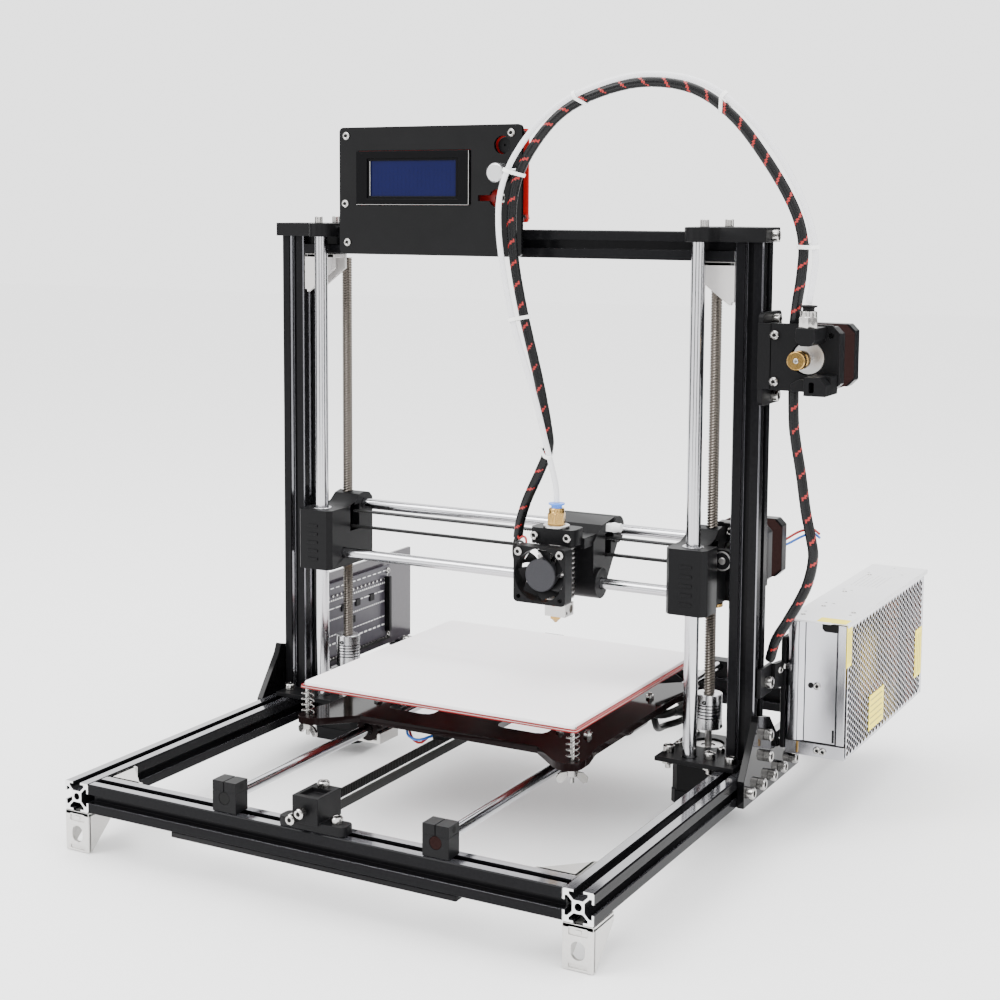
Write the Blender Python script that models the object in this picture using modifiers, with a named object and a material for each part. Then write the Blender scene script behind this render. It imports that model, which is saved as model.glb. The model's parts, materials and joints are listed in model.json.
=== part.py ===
"""Desktop fused-filament 3D printer with an aluminium-extrusion frame, as separate named pieces.

Dimensions are millimetres measured from the middle of the frame's front face on the floor:
X to the right, Y to the back, Z up. Everything is scaled to metres when it is placed.
"""

import math

import bmesh
import bpy
from mathutils import Matrix, Vector

MM = 0.001
GAP = 0.3  # clearance between neighbouring pieces

# The middle of the whole printer, seen from above: the model is moved so that it stands there.
MIDDLE_X = 25.43
MIDDLE_Y = 251.75

# Frame of 20 mm slotted extrusions
BEAM = 20.0
FRAME_HALF = 196.0
FRAME_DEPTH = 480.0
FOOT_HEIGHT = 28.0
BEAM_TOP = FOOT_HEIGHT + BEAM
UPRIGHT_Y = 269.0
UPRIGHT_TOP = 416.3
GUSSET_THICKNESS = 5.0
FOOT_DEPTH = 28.0
BRACKET_BOTTOM = 409.5
BRACKET_TOP = 419.5
PLATE_THICKNESS = 3.2  # folded sheet that carries the motors

# Z axis
Z_ROD_X = 153.2
Z_ROD_Y = 249.6
Z_ROD_R = 5.0
Z_SCREW_X = 153.1
Z_SCREW_Y = 285.7
Z_SCREW_R = 4.0
Z_SCREW_TOP = 392.7
Z_ROD_TOP = 416.6
Z_MOTOR_BOTTOM = 10.0
MOTOR_WIDTH = 42.3
MOTOR_CORNER = 4.5
MOTOR_BOSS_R = 11.0
MOTOR_SHAFT_R = 2.5

# X axis, carried by the two X ends
X_END_INNER = 137.7
X_END_OUTER = 167.7
X_ROD_R = 4.0
X_ROD_LOW = (257.0, 165.0)
X_ROD_HIGH = (286.0, 199.5)
CARRIAGE_X = 59.0
CARRIAGE_HALF = 20.0
NOZZLE_X = 59.5
NOZZLE_Y = 227.0
NOZZLE_TIP = 140.2
FAN_HALF = 20.0
FAN_FRONT = 200.0
FAN_BACK = 211.0
ROTOR_Y = 204.6

# Y axis, under the bed
Y_ROD_LEFT = -64.0
Y_ROD_RIGHT = 91.5
Y_ROD_Z = 57.5
Y_ROD_R = 4.0
BED_X = 12.0
BED_FRONT = 134.5
BED_TOP = 98.0
BELT_X = 1.0
CARRIAGE_BOTTOM = 68.5
CARRIAGE_TOP = 73.5

BODY = (0.012, 0.012, 0.013, 1.0)
STEEL = (0.62, 0.62, 0.63, 1.0)
ALUMINIUM = (0.78, 0.78, 0.79, 1.0)
RED = (0.55, 0.03, 0.02, 1.0)

for old in list(bpy.data.objects):
    bpy.data.objects.remove(old)

scene = bpy.context.scene
parts = bpy.data.collections.new("fdm_printer")
cutters = bpy.data.collections.new("cutters")
scene.collection.children.link(parts)
scene.collection.children.link(cutters)
cutters.hide_render = True

origin = bpy.data.objects.new("printer_origin", None)
origin.location = (-MIDDLE_X * MM, -MIDDLE_Y * MM, 0.0)
parts.objects.link(origin)


def material(name, colour, roughness, metallic):
    made = bpy.data.materials.new(name)
    made.use_nodes = True
    principled = made.node_tree.nodes["Principled BSDF"]
    principled.inputs["Base Color"].default_value = colour
    principled.inputs["Roughness"].default_value = roughness
    principled.inputs["Metallic"].default_value = metallic
    return made


def at(x, y, z):
    return Vector((x * MM, y * MM, z * MM))


def keep(obj, name, look):
    """Names a finished piece, gives it its material and stands it under the printer's origin."""
    obj.name = name
    obj.data.name = name
    obj.data.materials.clear()
    obj.data.materials.append(look)
    obj.parent = origin
    for holder in list(obj.users_collection):
        holder.objects.unlink(obj)
    parts.objects.link(obj)
    return obj


def smooth(obj, degrees=32.0):
    obj.data.shade_smooth()
    obj.data.set_sharp_from_angle(angle=math.radians(degrees))
    return obj


def mesh_object(mesh_maker, centre):
    """A cutter-collection object at centre, with its mesh made by a bmesh function."""
    mesh = bpy.data.meshes.new("shape")
    work = bmesh.new()
    mesh_maker(work)
    work.to_mesh(mesh)
    work.free()
    obj = bpy.data.objects.new("shape", mesh)
    obj.location = centre
    obj.hide_render = True
    obj.display_type = "WIRE"
    cutters.objects.link(obj)
    return obj


def show(obj):
    obj.hide_render = False
    obj.display_type = "TEXTURED"
    return obj


def block(low, high):
    """A box between two corners."""
    middle = [(a + b) / 2 for a, b in zip(low, high)]
    size = [(b - a) * MM for a, b in zip(low, high)]

    def make(work):
        bmesh.ops.create_cube(work, size=1.0)
        bmesh.ops.scale(work, vec=size, verts=work.verts)

    return mesh_object(make, at(*middle))


AXIS_TURN = {
    "X": Matrix.Rotation(math.radians(90), 4, "Y"),
    "Y": Matrix.Rotation(math.radians(-90), 4, "X"),
    "Z": Matrix.Identity(4),
}


def rod(axis, low, high, across, radius, sides=24):
    """A cylinder along an axis from low to high; across holds its two other coordinates."""
    length = (high - low) * MM
    middle = (low + high) / 2
    centre = {
        "X": at(middle, across[0], across[1]),
        "Y": at(across[0], middle, across[1]),
        "Z": at(across[0], across[1], middle),
    }[axis]

    def make(work):
        bmesh.ops.create_cone(
            work, cap_ends=True, cap_tris=False, segments=sides,
            radius1=radius * MM, radius2=radius * MM, depth=length,
        )
        bmesh.ops.transform(work, matrix=AXIS_TURN[axis], verts=work.verts)

    return mesh_object(make, centre)


def plate(axis, low, high, outline, holes=()):
    """A flat outline, with holes, as thick as low to high along an axis; it becomes a welded mesh."""
    curve = bpy.data.curves.new("outline", "CURVE")
    curve.dimensions = "2D"
    curve.fill_mode = "BOTH"
    curve.extrude = (high - low) / 2 * MM
    for ring in (outline, *holes):
        line = curve.splines.new("POLY")
        line.points.add(len(ring) - 1)
        for point, (a, b) in zip(line.points, ring):
            point.co = (a * MM, b * MM, 0.0, 1.0)
        line.use_cyclic_u = True
    drawn = bpy.data.objects.new("outline", curve)
    middle = (low + high) / 2
    turn = {
        "X": Matrix(((0, 0, 1), (1, 0, 0), (0, 1, 0))).to_4x4(),
        "Y": Matrix(((1, 0, 0), (0, 0, -1), (0, 1, 0))).to_4x4(),
        "Z": Matrix.Identity(4),
    }[axis]
    centre = {"X": at(middle, 0, 0), "Y": at(0, middle, 0), "Z": at(0, 0, middle)}[axis]
    drawn.matrix_world = Matrix.Translation(centre) @ turn
    cutters.objects.link(drawn)
    bpy.context.view_layer.update()
    evaluated = drawn.evaluated_get(bpy.context.evaluated_depsgraph_get())
    mesh = bpy.data.meshes.new_from_object(evaluated)
    work = bmesh.new()
    work.from_mesh(mesh)
    bmesh.ops.remove_doubles(work, verts=work.verts, dist=0.000001)
    work.to_mesh(mesh)
    work.free()
    obj = bpy.data.objects.new("plate", mesh)
    obj.matrix_world = drawn.matrix_world
    obj.hide_render = True
    obj.display_type = "WIRE"
    cutters.objects.link(obj)
    bpy.data.objects.remove(drawn)
    return obj


def circle(x, y, radius, sides=24, start=0.0):
    ring = []
    for i in range(sides):
        angle = math.radians(start) + 2 * math.pi * i / sides
        ring.append((x + radius * math.cos(angle), y + radius * math.sin(angle)))
    return ring


def arc(x, y, radius, first, last, steps):
    points = []
    for i in range(steps + 1):
        angle = math.radians(first + (last - first) * i / steps)
        points.append((x + radius * math.cos(angle), y + radius * math.sin(angle)))
    return points


def rounded(x0, x1, y0, y1, radius, steps=3):
    ring = []
    ring += arc(x1 - radius, y0 + radius, radius, -90, 0, steps)
    ring += arc(x1 - radius, y1 - radius, radius, 0, 90, steps)
    ring += arc(x0 + radius, y1 - radius, radius, 90, 180, steps)
    ring += arc(x0 + radius, y0 + radius, radius, 180, 270, steps)
    return ring


def combine(target, tools, how):
    for tool in tools:
        change = target.modifiers.new(how.lower(), "BOOLEAN")
        change.operation = how
        change.solver = "EXACT"
        change.object = tool
        tool.parent = origin
    return target


def join(target, *tools):
    return combine(target, tools, "UNION")


def cut(target, *tools):
    return combine(target, tools, "DIFFERENCE")


def turned(name, look, profile, axis, centre, sides=24):
    """A turned piece: (radius, height) pairs down its outer side, turned round an axis at centre."""
    mesh = bpy.data.meshes.new(name)
    work = bmesh.new()
    line = [work.verts.new((radius * MM, 0.0, height * MM)) for radius, height in profile]
    for first, second in zip(line, line[1:]):
        work.edges.new((first, second))
    work.to_mesh(mesh)
    work.free()
    obj = bpy.data.objects.new(name, mesh)
    cutters.objects.link(obj)
    screw = obj.modifiers.new("turn", "SCREW")
    screw.axis = "Z"
    screw.steps = sides
    screw.render_steps = sides
    screw.use_merge_vertices = True
    screw.merge_threshold = 0.000001
    screw.use_normal_calculate = False
    bpy.context.view_layer.update()
    evaluated = obj.evaluated_get(bpy.context.evaluated_depsgraph_get())
    solid = bpy.data.meshes.new_from_object(evaluated)
    work = bmesh.new()
    work.from_mesh(solid)
    bmesh.ops.transform(work, matrix=AXIS_TURN[axis], verts=work.verts)
    work.to_mesh(solid)
    work.free()
    made = bpy.data.objects.new(name, solid)
    made.location = centre
    made.hide_render = True
    made.display_type = "WIRE"
    cutters.objects.link(made)
    bpy.data.objects.remove(obj)
    if look is not None:
        keep(show(made), name, look)
        smooth(made)
    return made


def slot_profile():
    """The section of a 20 mm extrusion with a slot in each side and a hole down its middle."""
    side = [(3.1, 10.0), (3.1, 8.2), (5.4, 8.2), (5.4, 6.4), (2.9, 3.9)]
    run = side + [(-x, y) for x, y in reversed(side)] + [(-10.0, 10.0)]
    ring = []
    for quarter in range(4):
        for x, y in run:
            for _ in range(quarter):
                x, y = -y, x
            ring.append((x, y))
    return ring


def extrusion(name, axis, low, high, across):
    ring = [(x + across[0], y + across[1]) for x, y in slot_profile()]
    hole = circle(across[0], across[1], 2.1, 8)
    return keep(show(plate(axis, low, high, ring, [hole])), name, anodised)


anodised = material("anodised_extrusion", (0.02, 0.02, 0.022, 1.0), 0.35, 0.6)
moulded = material("black_moulding", BODY, 0.5, 0.0)
acrylic = material("black_acrylic", (0.008, 0.008, 0.009, 1.0), 0.12, 0.0)
casting = material("die_casting", (0.6, 0.6, 0.6, 1.0), 0.45, 0.9)
rod_steel = material("ground_rod", STEEL, 0.15, 1.0)
screw_steel = material("screw_steel", (0.5, 0.49, 0.47, 1.0), 0.35, 1.0)
motor_black = material("motor_body", (0.015, 0.014, 0.014, 1.0), 0.4, 0.5)
zinc = material("power_supply_case", (0.72, 0.72, 0.73, 1.0), 0.3, 0.9)
board = material("circuit_board", (0.015, 0.015, 0.018, 1.0), 0.4, 0.0)
red_board = material("bed_heater", RED, 0.4, 0.0)
bed_look = material("bed_plate", (0.8, 0.79, 0.79, 1.0), 0.55, 0.0)
metal = material("machined_aluminium", ALUMINIUM, 0.3, 1.0)
fan_look = material("fan_plastic", (0.02, 0.02, 0.021, 1.0), 0.5, 0.0)
lcd = material("display", (0.01, 0.01, 0.012, 1.0), 0.1, 0.0)
brass = material("brass", (0.75, 0.55, 0.25, 1.0), 0.3, 1.0)
sleeve = material("cable_sleeve", (0.01, 0.01, 0.01, 1.0), 0.35, 0.0)
tube_look = material("filament_tube", (0.85, 0.85, 0.85, 1.0), 0.3, 0.0)

# ---------------------------------------------------------------- frame

SIDE_X = FRAME_HALF - BEAM / 2
BEAM_Z = FOOT_HEIGHT + BEAM / 2
INNER = FRAME_HALF - BEAM - GAP

extrusion("side_beam_left", "Y", 0.0, FRAME_DEPTH, (-SIDE_X, BEAM_Z))
extrusion("side_beam_right", "Y", 0.0, FRAME_DEPTH, (SIDE_X, BEAM_Z))
extrusion("front_beam", "X", -INNER, INNER, (BEAM / 2, BEAM_Z))
extrusion("rear_beam", "X", -INNER, INNER, (FRAME_DEPTH - BEAM / 2, BEAM_Z))
extrusion("upright_left", "Z", BEAM_TOP + GAP, UPRIGHT_TOP, (-SIDE_X, UPRIGHT_Y))
extrusion("upright_right", "Z", BEAM_TOP + GAP, UPRIGHT_TOP, (SIDE_X, UPRIGHT_Y))
extrusion("top_crossbeam", "X", -INNER, INNER, (UPRIGHT_Y, UPRIGHT_TOP - BEAM / 2))


def foot(name, x, y_face, inward):
    """A cast angle bracket: one leg under the beam, one leg down at its end, two ribs."""
    top = FOOT_HEIGHT - GAP
    back = y_face + FOOT_DEPTH * inward
    outline = [(y_face, 0.0), (y_face + 5 * inward, 0.0), (back, top - 6.0)]
    outline += [(back, top), (y_face, top)]
    if inward < 0:
        outline.reverse()
    body = plate("X", x - 10, x + 10, outline)
    near, far = sorted((y_face + 4 * inward, back + 2 * inward))
    pocket = block((x - 7, near, -2.0), (x + 7, far, top - 4.0))
    slot = block((x - 3.2, y_face - 6, 6.0), (x + 3.2, y_face + 6, 18.0))
    bolt = rod("Z", 15, 35, (x, y_face + 16 * inward), 3.2, 12)
    cut(body, pocket, slot, bolt)
    return keep(show(body), name, casting)


foot("foot_front_left", -SIDE_X, 0.0, 1)
foot("foot_front_right", SIDE_X, 0.0, 1)
foot("foot_rear_left", -SIDE_X, FRAME_DEPTH, -1)
foot("foot_rear_right", SIDE_X, FRAME_DEPTH, -1)


def side_plate(name, sign):
    """The polished plate outside the joint between a side beam and its upright."""
    outline = [(228, 28.3), (343, 28.3), (343, 48), (309, 48), (291, 67), (278, 80)]
    outline += [(254, 86), (251, 79), (228, 47)]
    near = FRAME_HALF + GAP
    low, high = (near, near + GUSSET_THICKNESS)
    if sign < 0:
        low, high = -high, -low
    return keep(show(plate("X", low, high, outline)), name, acrylic)


side_plate("gusset_left", -1)
side_plate("gusset_right", 1)


def top_bracket(name, sign):
    """The moulded cap that ties an upright to the crossbeam and holds the top of a Z rod."""
    ring = [(198.7, 255.3), (198.7, 284.3), (176, 290), (147, 290), (143.6, 286)]
    ring += [(143.6, Z_ROD_Y)] + arc(Z_ROD_X, Z_ROD_Y, 9.6, 180, 360, 8) + [(166.5, 255.3)]
    ring = [(sign * x, y) for x, y in ring]
    if sign > 0:
        ring.reverse()
    body = plate("Z", BRACKET_BOTTOM, BRACKET_TOP, ring)
    edge = FRAME_HALF + GAP
    lo, hi = sorted((sign * 100.0, sign * edge))
    seat = block((lo, 258.7, 400.0), (hi, 279.3, UPRIGHT_TOP + GAP))
    bore = rod("Z", 400, 417.2, (sign * Z_ROD_X, Z_ROD_Y), Z_ROD_R + GAP)
    stud_a = rod("Z", 418, 424.5, (sign * 156.5, 251.5), 3.0, 12)
    stud_b = rod("Z", 418, 424.5, (sign * 162.0, 284.0), 3.0, 12)
    cut(body, seat, bore)
    join(body, stud_a, stud_b)
    return keep(smooth(show(body)), name, moulded)


top_bracket("top_bracket_left", -1)
top_bracket("top_bracket_right", 1)

# ---------------------------------------------------------------- Z axis


def motor(name, centre, axis, low, high, shaft_to, look):
    """A square stepper motor along an axis, with its corners cut, a boss and a shaft."""
    half = MOTOR_WIDTH / 2
    a, b = centre
    c = MOTOR_CORNER
    ring = [(a - half + c, b - half), (a + half - c, b - half), (a + half, b - half + c)]
    ring += [(a + half, b + half - c), (a + half - c, b + half), (a - half + c, b + half)]
    ring += [(a - half, b + half - c), (a - half, b - half + c)]
    body = plate(axis, low, high, ring)
    face = high if shaft_to > high else low
    way = 1 if shaft_to > high else -1
    boss = rod(axis, *sorted((face - 2 * way, face + 2.0 * way)), centre, MOTOR_BOSS_R)
    shaft = rod(axis, *sorted((face - 2 * way, shaft_to)), centre, MOTOR_SHAFT_R, 16)
    join(body, boss, shaft)
    return keep(smooth(show(body)), name, look)


def motor_mount(name, sign):
    """The folded plate on the side beam that carries a Z motor and the foot of a Z rod."""
    ring = [(131.8, 237.5), (190, 237.5), (190, 258.7), (175.4, 258.7), (175.4, 307), (131.8, 307)]
    ring = [(sign * x, y) for x, y in ring]
    if sign < 0:
        ring.reverse()
    rod_hole = circle(sign * Z_ROD_X, Z_ROD_Y, Z_ROD_R + GAP)
    boss_hole = circle(sign * Z_SCREW_X, Z_SCREW_Y, 11.5)
    body = plate("Z", BEAM_TOP + GAP, BEAM_TOP + GAP + PLATE_THICKNESS, ring, [rod_hole, boss_hole])
    return keep(show(body), name, moulded)


for side, sign, coupler_bottom in (("left", -1, 67.0), ("right", 1, 62.8)):
    motor_mount("motor_mount_" + side, sign)
    motor("z_motor_" + side, (sign * Z_SCREW_X, Z_SCREW_Y), "Z", Z_MOTOR_BOTTOM, BEAM_TOP, 62.3,
          motor_black)
    rod_body = rod("Z", BEAM_TOP + 1.0, Z_ROD_TOP, (sign * Z_ROD_X, Z_ROD_Y), Z_ROD_R)
    keep(smooth(show(rod_body)), "z_rod_" + side, rod_steel)
    top = coupler_bottom + 25.4
    profile = [(0, Z_SCREW_TOP), (3.0, Z_SCREW_TOP), (Z_SCREW_R, Z_SCREW_TOP - 1.2)]
    profile += [(Z_SCREW_R, top), (8.8, top), (9.5, top - 0.7)]
    profile += [(9.5, coupler_bottom + 0.7), (8.8, coupler_bottom), (0, coupler_bottom)]
    turned("lead_screw_" + side, screw_steel, profile, "Z", at(sign * Z_SCREW_X, Z_SCREW_Y, 0))

# ---------------------------------------------------------------- gantry


def x_end(name, sign):
    """The moulded block at one end of the X axis; it rides a Z rod and is driven by a lead screw."""
    side = [(236, 154), (298, 154), (298, 203.5), (293.5, 207.5), (286, 209), (278.5, 207.5)]
    side += [(272, 202.5), (264, 200), (236, 200)]
    lo, hi = sorted((sign * X_END_INNER, sign * X_END_OUTER))
    body = plate("X", lo, hi, side)
    tools = []
    for edge, way in ((X_END_OUTER, 1), (X_END_INNER, -1)):
        ring = [(edge - 4.0 * way, 235), (edge + 1.0 * way, 235), (edge + 1.0 * way, 240)]
        ring += [(edge, 240)]
        ring = [(sign * x, y) for x, y in ring]
        if sign * way < 0:
            ring.reverse()
        tools.append(plate("Z", 150, 205, ring))
    tools.append(rod("Z", 140, 215, (sign * Z_ROD_X, Z_ROD_Y), Z_ROD_R + GAP))
    tools.append(rod("Z", 140, 215, (sign * Z_SCREW_X, Z_SCREW_Y), Z_SCREW_R + GAP, 20))
    a, b = sorted((sign * 130.0, sign * 147.3))
    tools.append(rod("X", a, b, X_ROD_LOW, X_ROD_R + GAP, 20))
    tools.append(rod("X", a, b, X_ROD_HIGH, X_ROD_R + GAP, 20))
    a, b = sorted((sign * 130.0, sign * 175.0))
    tools.append(block((a, 265.5, 180.5), (b, 278.5, 200.4)))
    a, b = sorted((sign * 160.5, sign * 175.0))
    tools.append(block((a, 258.0, 150.0), (b, 294.5, 215.0)))
    cut(body, *tools)
    return body


keep(smooth(show(x_end("x_end_left", -1))), "x_end_left", moulded)
right_end = x_end("x_end_right", 1)
flange = block((158.0, 294.2, 168.0), (190.2, 297.9, 210.2))
opening = rod("Y", 290, 302, (169.0, 189.0), 11.5)
join(right_end, flange)
cut(right_end, opening)
keep(smooth(show(right_end)), "x_end_right", moulded)

keep(smooth(show(rod("X", -147, 147, X_ROD_LOW, X_ROD_R, 20))), "x_rod_lower", rod_steel)
keep(smooth(show(rod("X", -147, 147, X_ROD_HIGH, X_ROD_R, 20))), "x_rod_upper", rod_steel)
motor("x_motor", (169.0, 189.0), "Y", 298.2, 338.0, 263.0, motor_black)

# X carriage: bearing tubes round both rods, a slanted plate, and the clamp for the hot end
TUBE_HALF = CARRIAGE_HALF + 2
carriage = rod("X", CARRIAGE_X - TUBE_HALF, CARRIAGE_X + TUBE_HALF, X_ROD_HIGH, 9.9)
carriage_low = rod("X", CARRIAGE_X - TUBE_HALF, CARRIAGE_X + TUBE_HALF, X_ROD_LOW, 11.0)
slab_side = [(247, 162), (266, 158), (291, 192), (291, 203), (283, 209), (262, 206), (247, 196)]
slab = plate("X", CARRIAGE_X - CARRIAGE_HALF, CARRIAGE_X + CARRIAGE_HALF, slab_side)
shelf = block((CARRIAGE_X - 19, 234.0, 193.5), (CARRIAGE_X + 19, 256.0, 201.0))
clamp = plate("Z", 197.0, 208.5, rounded(NOZZLE_X - 17, NOZZLE_X + 17, 218.5, 238.0, 5.0))
join(carriage, carriage_low, slab, shelf, clamp)
cut(
    carriage,
    rod("X", 0, 120, X_ROD_HIGH, X_ROD_R + GAP, 20),
    rod("X", 0, 120, X_ROD_LOW, X_ROD_R + GAP, 20),
    block((0, 267.0, 182.0), (120, 277.0, 199.0)),
    rod("Z", 190, 220, (NOZZLE_X, NOZZLE_Y), 8.3),
    block((NOZZLE_X - 13, 214, 150), (NOZZLE_X + 13, 239.5, 197.4)),
)
keep(smooth(show(carriage)), "x_carriage", moulded)

# Hot end: fitting, finned cooler, heater block and nozzle on one axis
fin_line = [(0, 226), (5.6, 226), (5.6, 224.6), (3.7, 224), (3.7, 222.4), (5.4, 221.8), (6.3, 218)]
fin_line += [(6.3, 210.4), (7.8, 210), (7.8, 197.2)]
z = 196.4
while z > 159:
    fin_line += [(11.0, z), (11.0, z - 2.0), (5.0, z - 2.0), (5.0, z - 5.6)]
    z -= 5.6
fin_line += [(2.2, z), (2.2, 150), (3.6, 150), (3.6, 143), (0.9, NOZZLE_TIP), (0, NOZZLE_TIP)]
hot_end = turned("hotend", None, fin_line, "Z", at(NOZZLE_X, NOZZLE_Y, 0), 16)
join(hot_end, block((NOZZLE_X - 5.3, 220.0, 145.8), (NOZZLE_X + 10.7, 234.0, 155.0)))
keep(smooth(show(hot_end)), "hotend", metal)

# Cooling fan in front of the fins: a square frame, and a rotor that turns on its own
FAN = (NOZZLE_X, 178.5)
HUB_R = 11.6
BLADES = 7
square = rounded(FAN[0] - FAN_HALF, FAN[0] + FAN_HALF, FAN[1] - FAN_HALF, FAN[1] + FAN_HALF, 3.0)
fan = plate("Y", FAN_FRONT, FAN_BACK, square, [circle(*FAN, 18.9, 32)])
fan_base = rod("Y", 209.0, 210.8, FAN, HUB_R, 24)
struts = []
for turn in (30, 150, 270):
    strut = block((-1.2, 209.2, 8.0), (1.2, 210.7, 20.0))
    strut.matrix_world = (
        Matrix.Translation(at(FAN[0], 0, FAN[1]))
        @ Matrix.Rotation(math.radians(turn), 4, "Y")
        @ Matrix.Translation(at(0, 209.95, 14.0))
    )
    struts.append(strut)
join(fan, fan_base, *struts)
holes = []
for dx in (-16, 16):
    for dz in (-16, 16):
        holes.append(rod("Y", 195, 215, (FAN[0] + dx, FAN[1] + dz), 1.7, 10))
cut(fan, *holes)
keep(smooth(show(fan)), "fan_frame", fan_look)

rotor = rod("Y", ROTOR_Y - 4.2, ROTOR_Y + 4.2, FAN, HUB_R, 28)
blades = []
for i in range(BLADES):
    blade = block((-3.5, -0.6, 0), (3.5, 0.6, 8.7))
    blade.matrix_world = (
        Matrix.Translation(at(FAN[0], ROTOR_Y, FAN[1]))
        @ Matrix.Rotation(2 * math.pi * i / BLADES, 4, "Y")
        @ Matrix.Translation(at(0, 0, 14.0))
        @ Matrix.Rotation(math.radians(38), 4, "Z")
    )
    blades.append(blade)
join(rotor, *blades)
keep(smooth(show(rotor)), "fan_rotor", fan_look)

# ---------------------------------------------------------------- Y axis and bed

for name, x in (("left", Y_ROD_LEFT), ("right", Y_ROD_RIGHT)):
    keep(smooth(show(rod("Y", 3.0, 477.0, (x, Y_ROD_Z), Y_ROD_R, 20))), "y_rod_" + name, rod_steel)
    for place, low, top in (("front", 1.5, 68.5), ("rear", 465.5, 62.6)):
        holder = block((x - 9.1, low, BEAM_TOP + GAP), (x + 9.1, low + 13, top))
        cut(holder, rod("Y", -5, 485, (x, Y_ROD_Z), Y_ROD_R + GAP, 20))
        keep(smooth(show(holder)), "y_rod_block_" + place + "_" + name, moulded)

tensioner = plate("Z", BEAM_TOP + GAP, 54.5, rounded(-22, 27, 0.5, 13.5, 4.0))
join(tensioner, block((-9.5, -1.5, 53.0), (9.5, 25.5, 70.5)))
cut(
    tensioner,
    block((-6.5, 8.0, 52.0), (7.5, 60.0, 63.0)),
    block((-6.5, 3.0, 67.5), (7.5, 17.0, 75.0)),
)
keep(show(tensioner), "belt_tensioner", moulded)

y_motor = motor("y_motor", (BELT_X, 436.0), "Z", 8.0, BEAM_TOP, 66.0, motor_black)
under_motor = rounded(BELT_X - 25, BELT_X + 25, 413, 458, 4.0)
on_beam = rounded(BELT_X - 25, BELT_X + 25, 440, 479, 4.0)
mount_top = BEAM_TOP + GAP + PLATE_THICKNESS
join(
    y_motor,
    plate("Z", BEAM_TOP - 0.4, mount_top, under_motor),
    plate("Z", BEAM_TOP + GAP, mount_top, on_beam),
)

# The sliding plate under the bed: ears for the levelling screws, windows, four bearing blocks
EAR_X = 110.5
PLATE_FRONT = 130.0
PLATE_BACK = 352.0
half_ring = [(70, PLATE_FRONT + 24), (91, PLATE_FRONT + 4), (97, PLATE_FRONT)]
half_ring += arc(EAR_X - 8, PLATE_FRONT + 8, 8, -90, 0, 4)
half_ring += [(EAR_X, PLATE_FRONT + 20), (106, PLATE_FRONT + 40)]
half_ring += [(106, PLATE_BACK - 40), (EAR_X, PLATE_BACK - 20)]
half_ring += arc(EAR_X - 8, PLATE_BACK - 8, 8, 0, 90, 4)
half_ring += [(97, PLATE_BACK), (91, PLATE_BACK - 4), (70, PLATE_BACK - 24)]
ring = [(BED_X + x, y) for x, y in half_ring]
ring += [(BED_X - x, y) for x, y in reversed(half_ring)]
windows = []
for x0, x1 in ((-52, -16), (36, 74)):
    windows.append(rounded(x0, x1, 180, 302, 6.0, 2))
SPRING_X = 104.0
SPRING_Y = (BED_FRONT + 3.5, BED_FRONT + 209.5)
for x in (BED_X - SPRING_X, BED_X + SPRING_X):
    for y in SPRING_Y:
        windows.append(circle(x, y, 1.9, 10))
y_carriage = plate("Z", CARRIAGE_BOTTOM, CARRIAGE_TOP, ring, windows)
bearings = []
bores = []
for x in (Y_ROD_LEFT, Y_ROD_RIGHT):
    for y in (186, 290):
        bearings.append(rod("Y", y - 13, y + 13, (x, Y_ROD_Z), 8.6, 20))
        bearings.append(block((x - 10, y - 11, Y_ROD_Z + 1), (x + 10, y + 11, CARRIAGE_BOTTOM + 1)))
    bores.append(rod("Y", 100, 400, (x, Y_ROD_Z), Y_ROD_R + GAP, 20))
join(y_carriage, *bearings)
cut(y_carriage, *bores)
keep(smooth(show(y_carriage)), "y_carriage", moulded)

heater = plate("Z", 93.2, 95.1, rounded(BED_X - 107, BED_X + 107, BED_FRONT, BED_FRONT + 213.5, 2.0, 1))
levelling = []
for x in (BED_X - SPRING_X, BED_X + SPRING_X):
    for y in SPRING_Y:
        levelling.append(rod("Z", 59.0, 94.6, (x, y), 1.5, 10))
        levelling.append(rod("Z", 62.5, 68.0, (x, y), 4.2, 12))
join(heater, *levelling)
keep(smooth(show(heater)), "heated_bed", red_board)
top_plate = plate("Z", 95.4, BED_TOP,
                  rounded(BED_X - 105.5, BED_X + 105.5, BED_FRONT, BED_FRONT + 213, 3.0, 2))
keep(show(top_plate), "build_plate", bed_look)

# ---------------------------------------------------------------- display on the crossbeam

KNOB = (5.6, 456.7)
RESET = (1.1, 438.7)
BUZZER = (5.1, 476.4)
KEYHOLE_R = 6.5
panel = plate(
    "Y", 244.5, 247.5, rounded(-133, 21, 397, 491, 3.0, 2),
    [
        [(-117.3, 433.4), (-20.7, 433.4), (-20.7, 473.5), (-117.3, 473.5)],
        circle(*KNOB, 5.2, 16),
        [(RESET[0] - 15.4, RESET[1] - 2.1), (RESET[0] - 6.2, RESET[1] - 2.1)]
        + arc(*RESET, KEYHOLE_R, -160, 160, 14)
        + [(RESET[0] - 6.2, RESET[1] + 2.1), (RESET[0] - 15.4, RESET[1] + 2.1)],
        circle(*BUZZER, KEYHOLE_R, 20),
    ],
)
spacers = [rod("Y", 247.0, 258.6, (x, 404.5), 4.0, 12) for x in (-118.0, 8.0)]
join(panel, *spacers)
keep(smooth(show(panel)), "display_plate", acrylic)
module = block((-117, 242.6, 433.7), (-21, 256.0, 473.2))
circuit = block((-129, 255.2, 421.5), (20.7, 256.8, 488))
encoder = block((KNOB[0] - 6, 248.2, KNOB[1] - 6), (KNOB[0] + 6, 256.0, KNOB[1] + 6))
switch = block((RESET[0] - 3, 250.6, RESET[1] - 3), (RESET[0] + 3, 256.0, RESET[1] + 3))
buzzer = rod("Y", 249.4, 256.0, BUZZER, 5.8, 20)
join(module, circuit, encoder, switch, buzzer)
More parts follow.
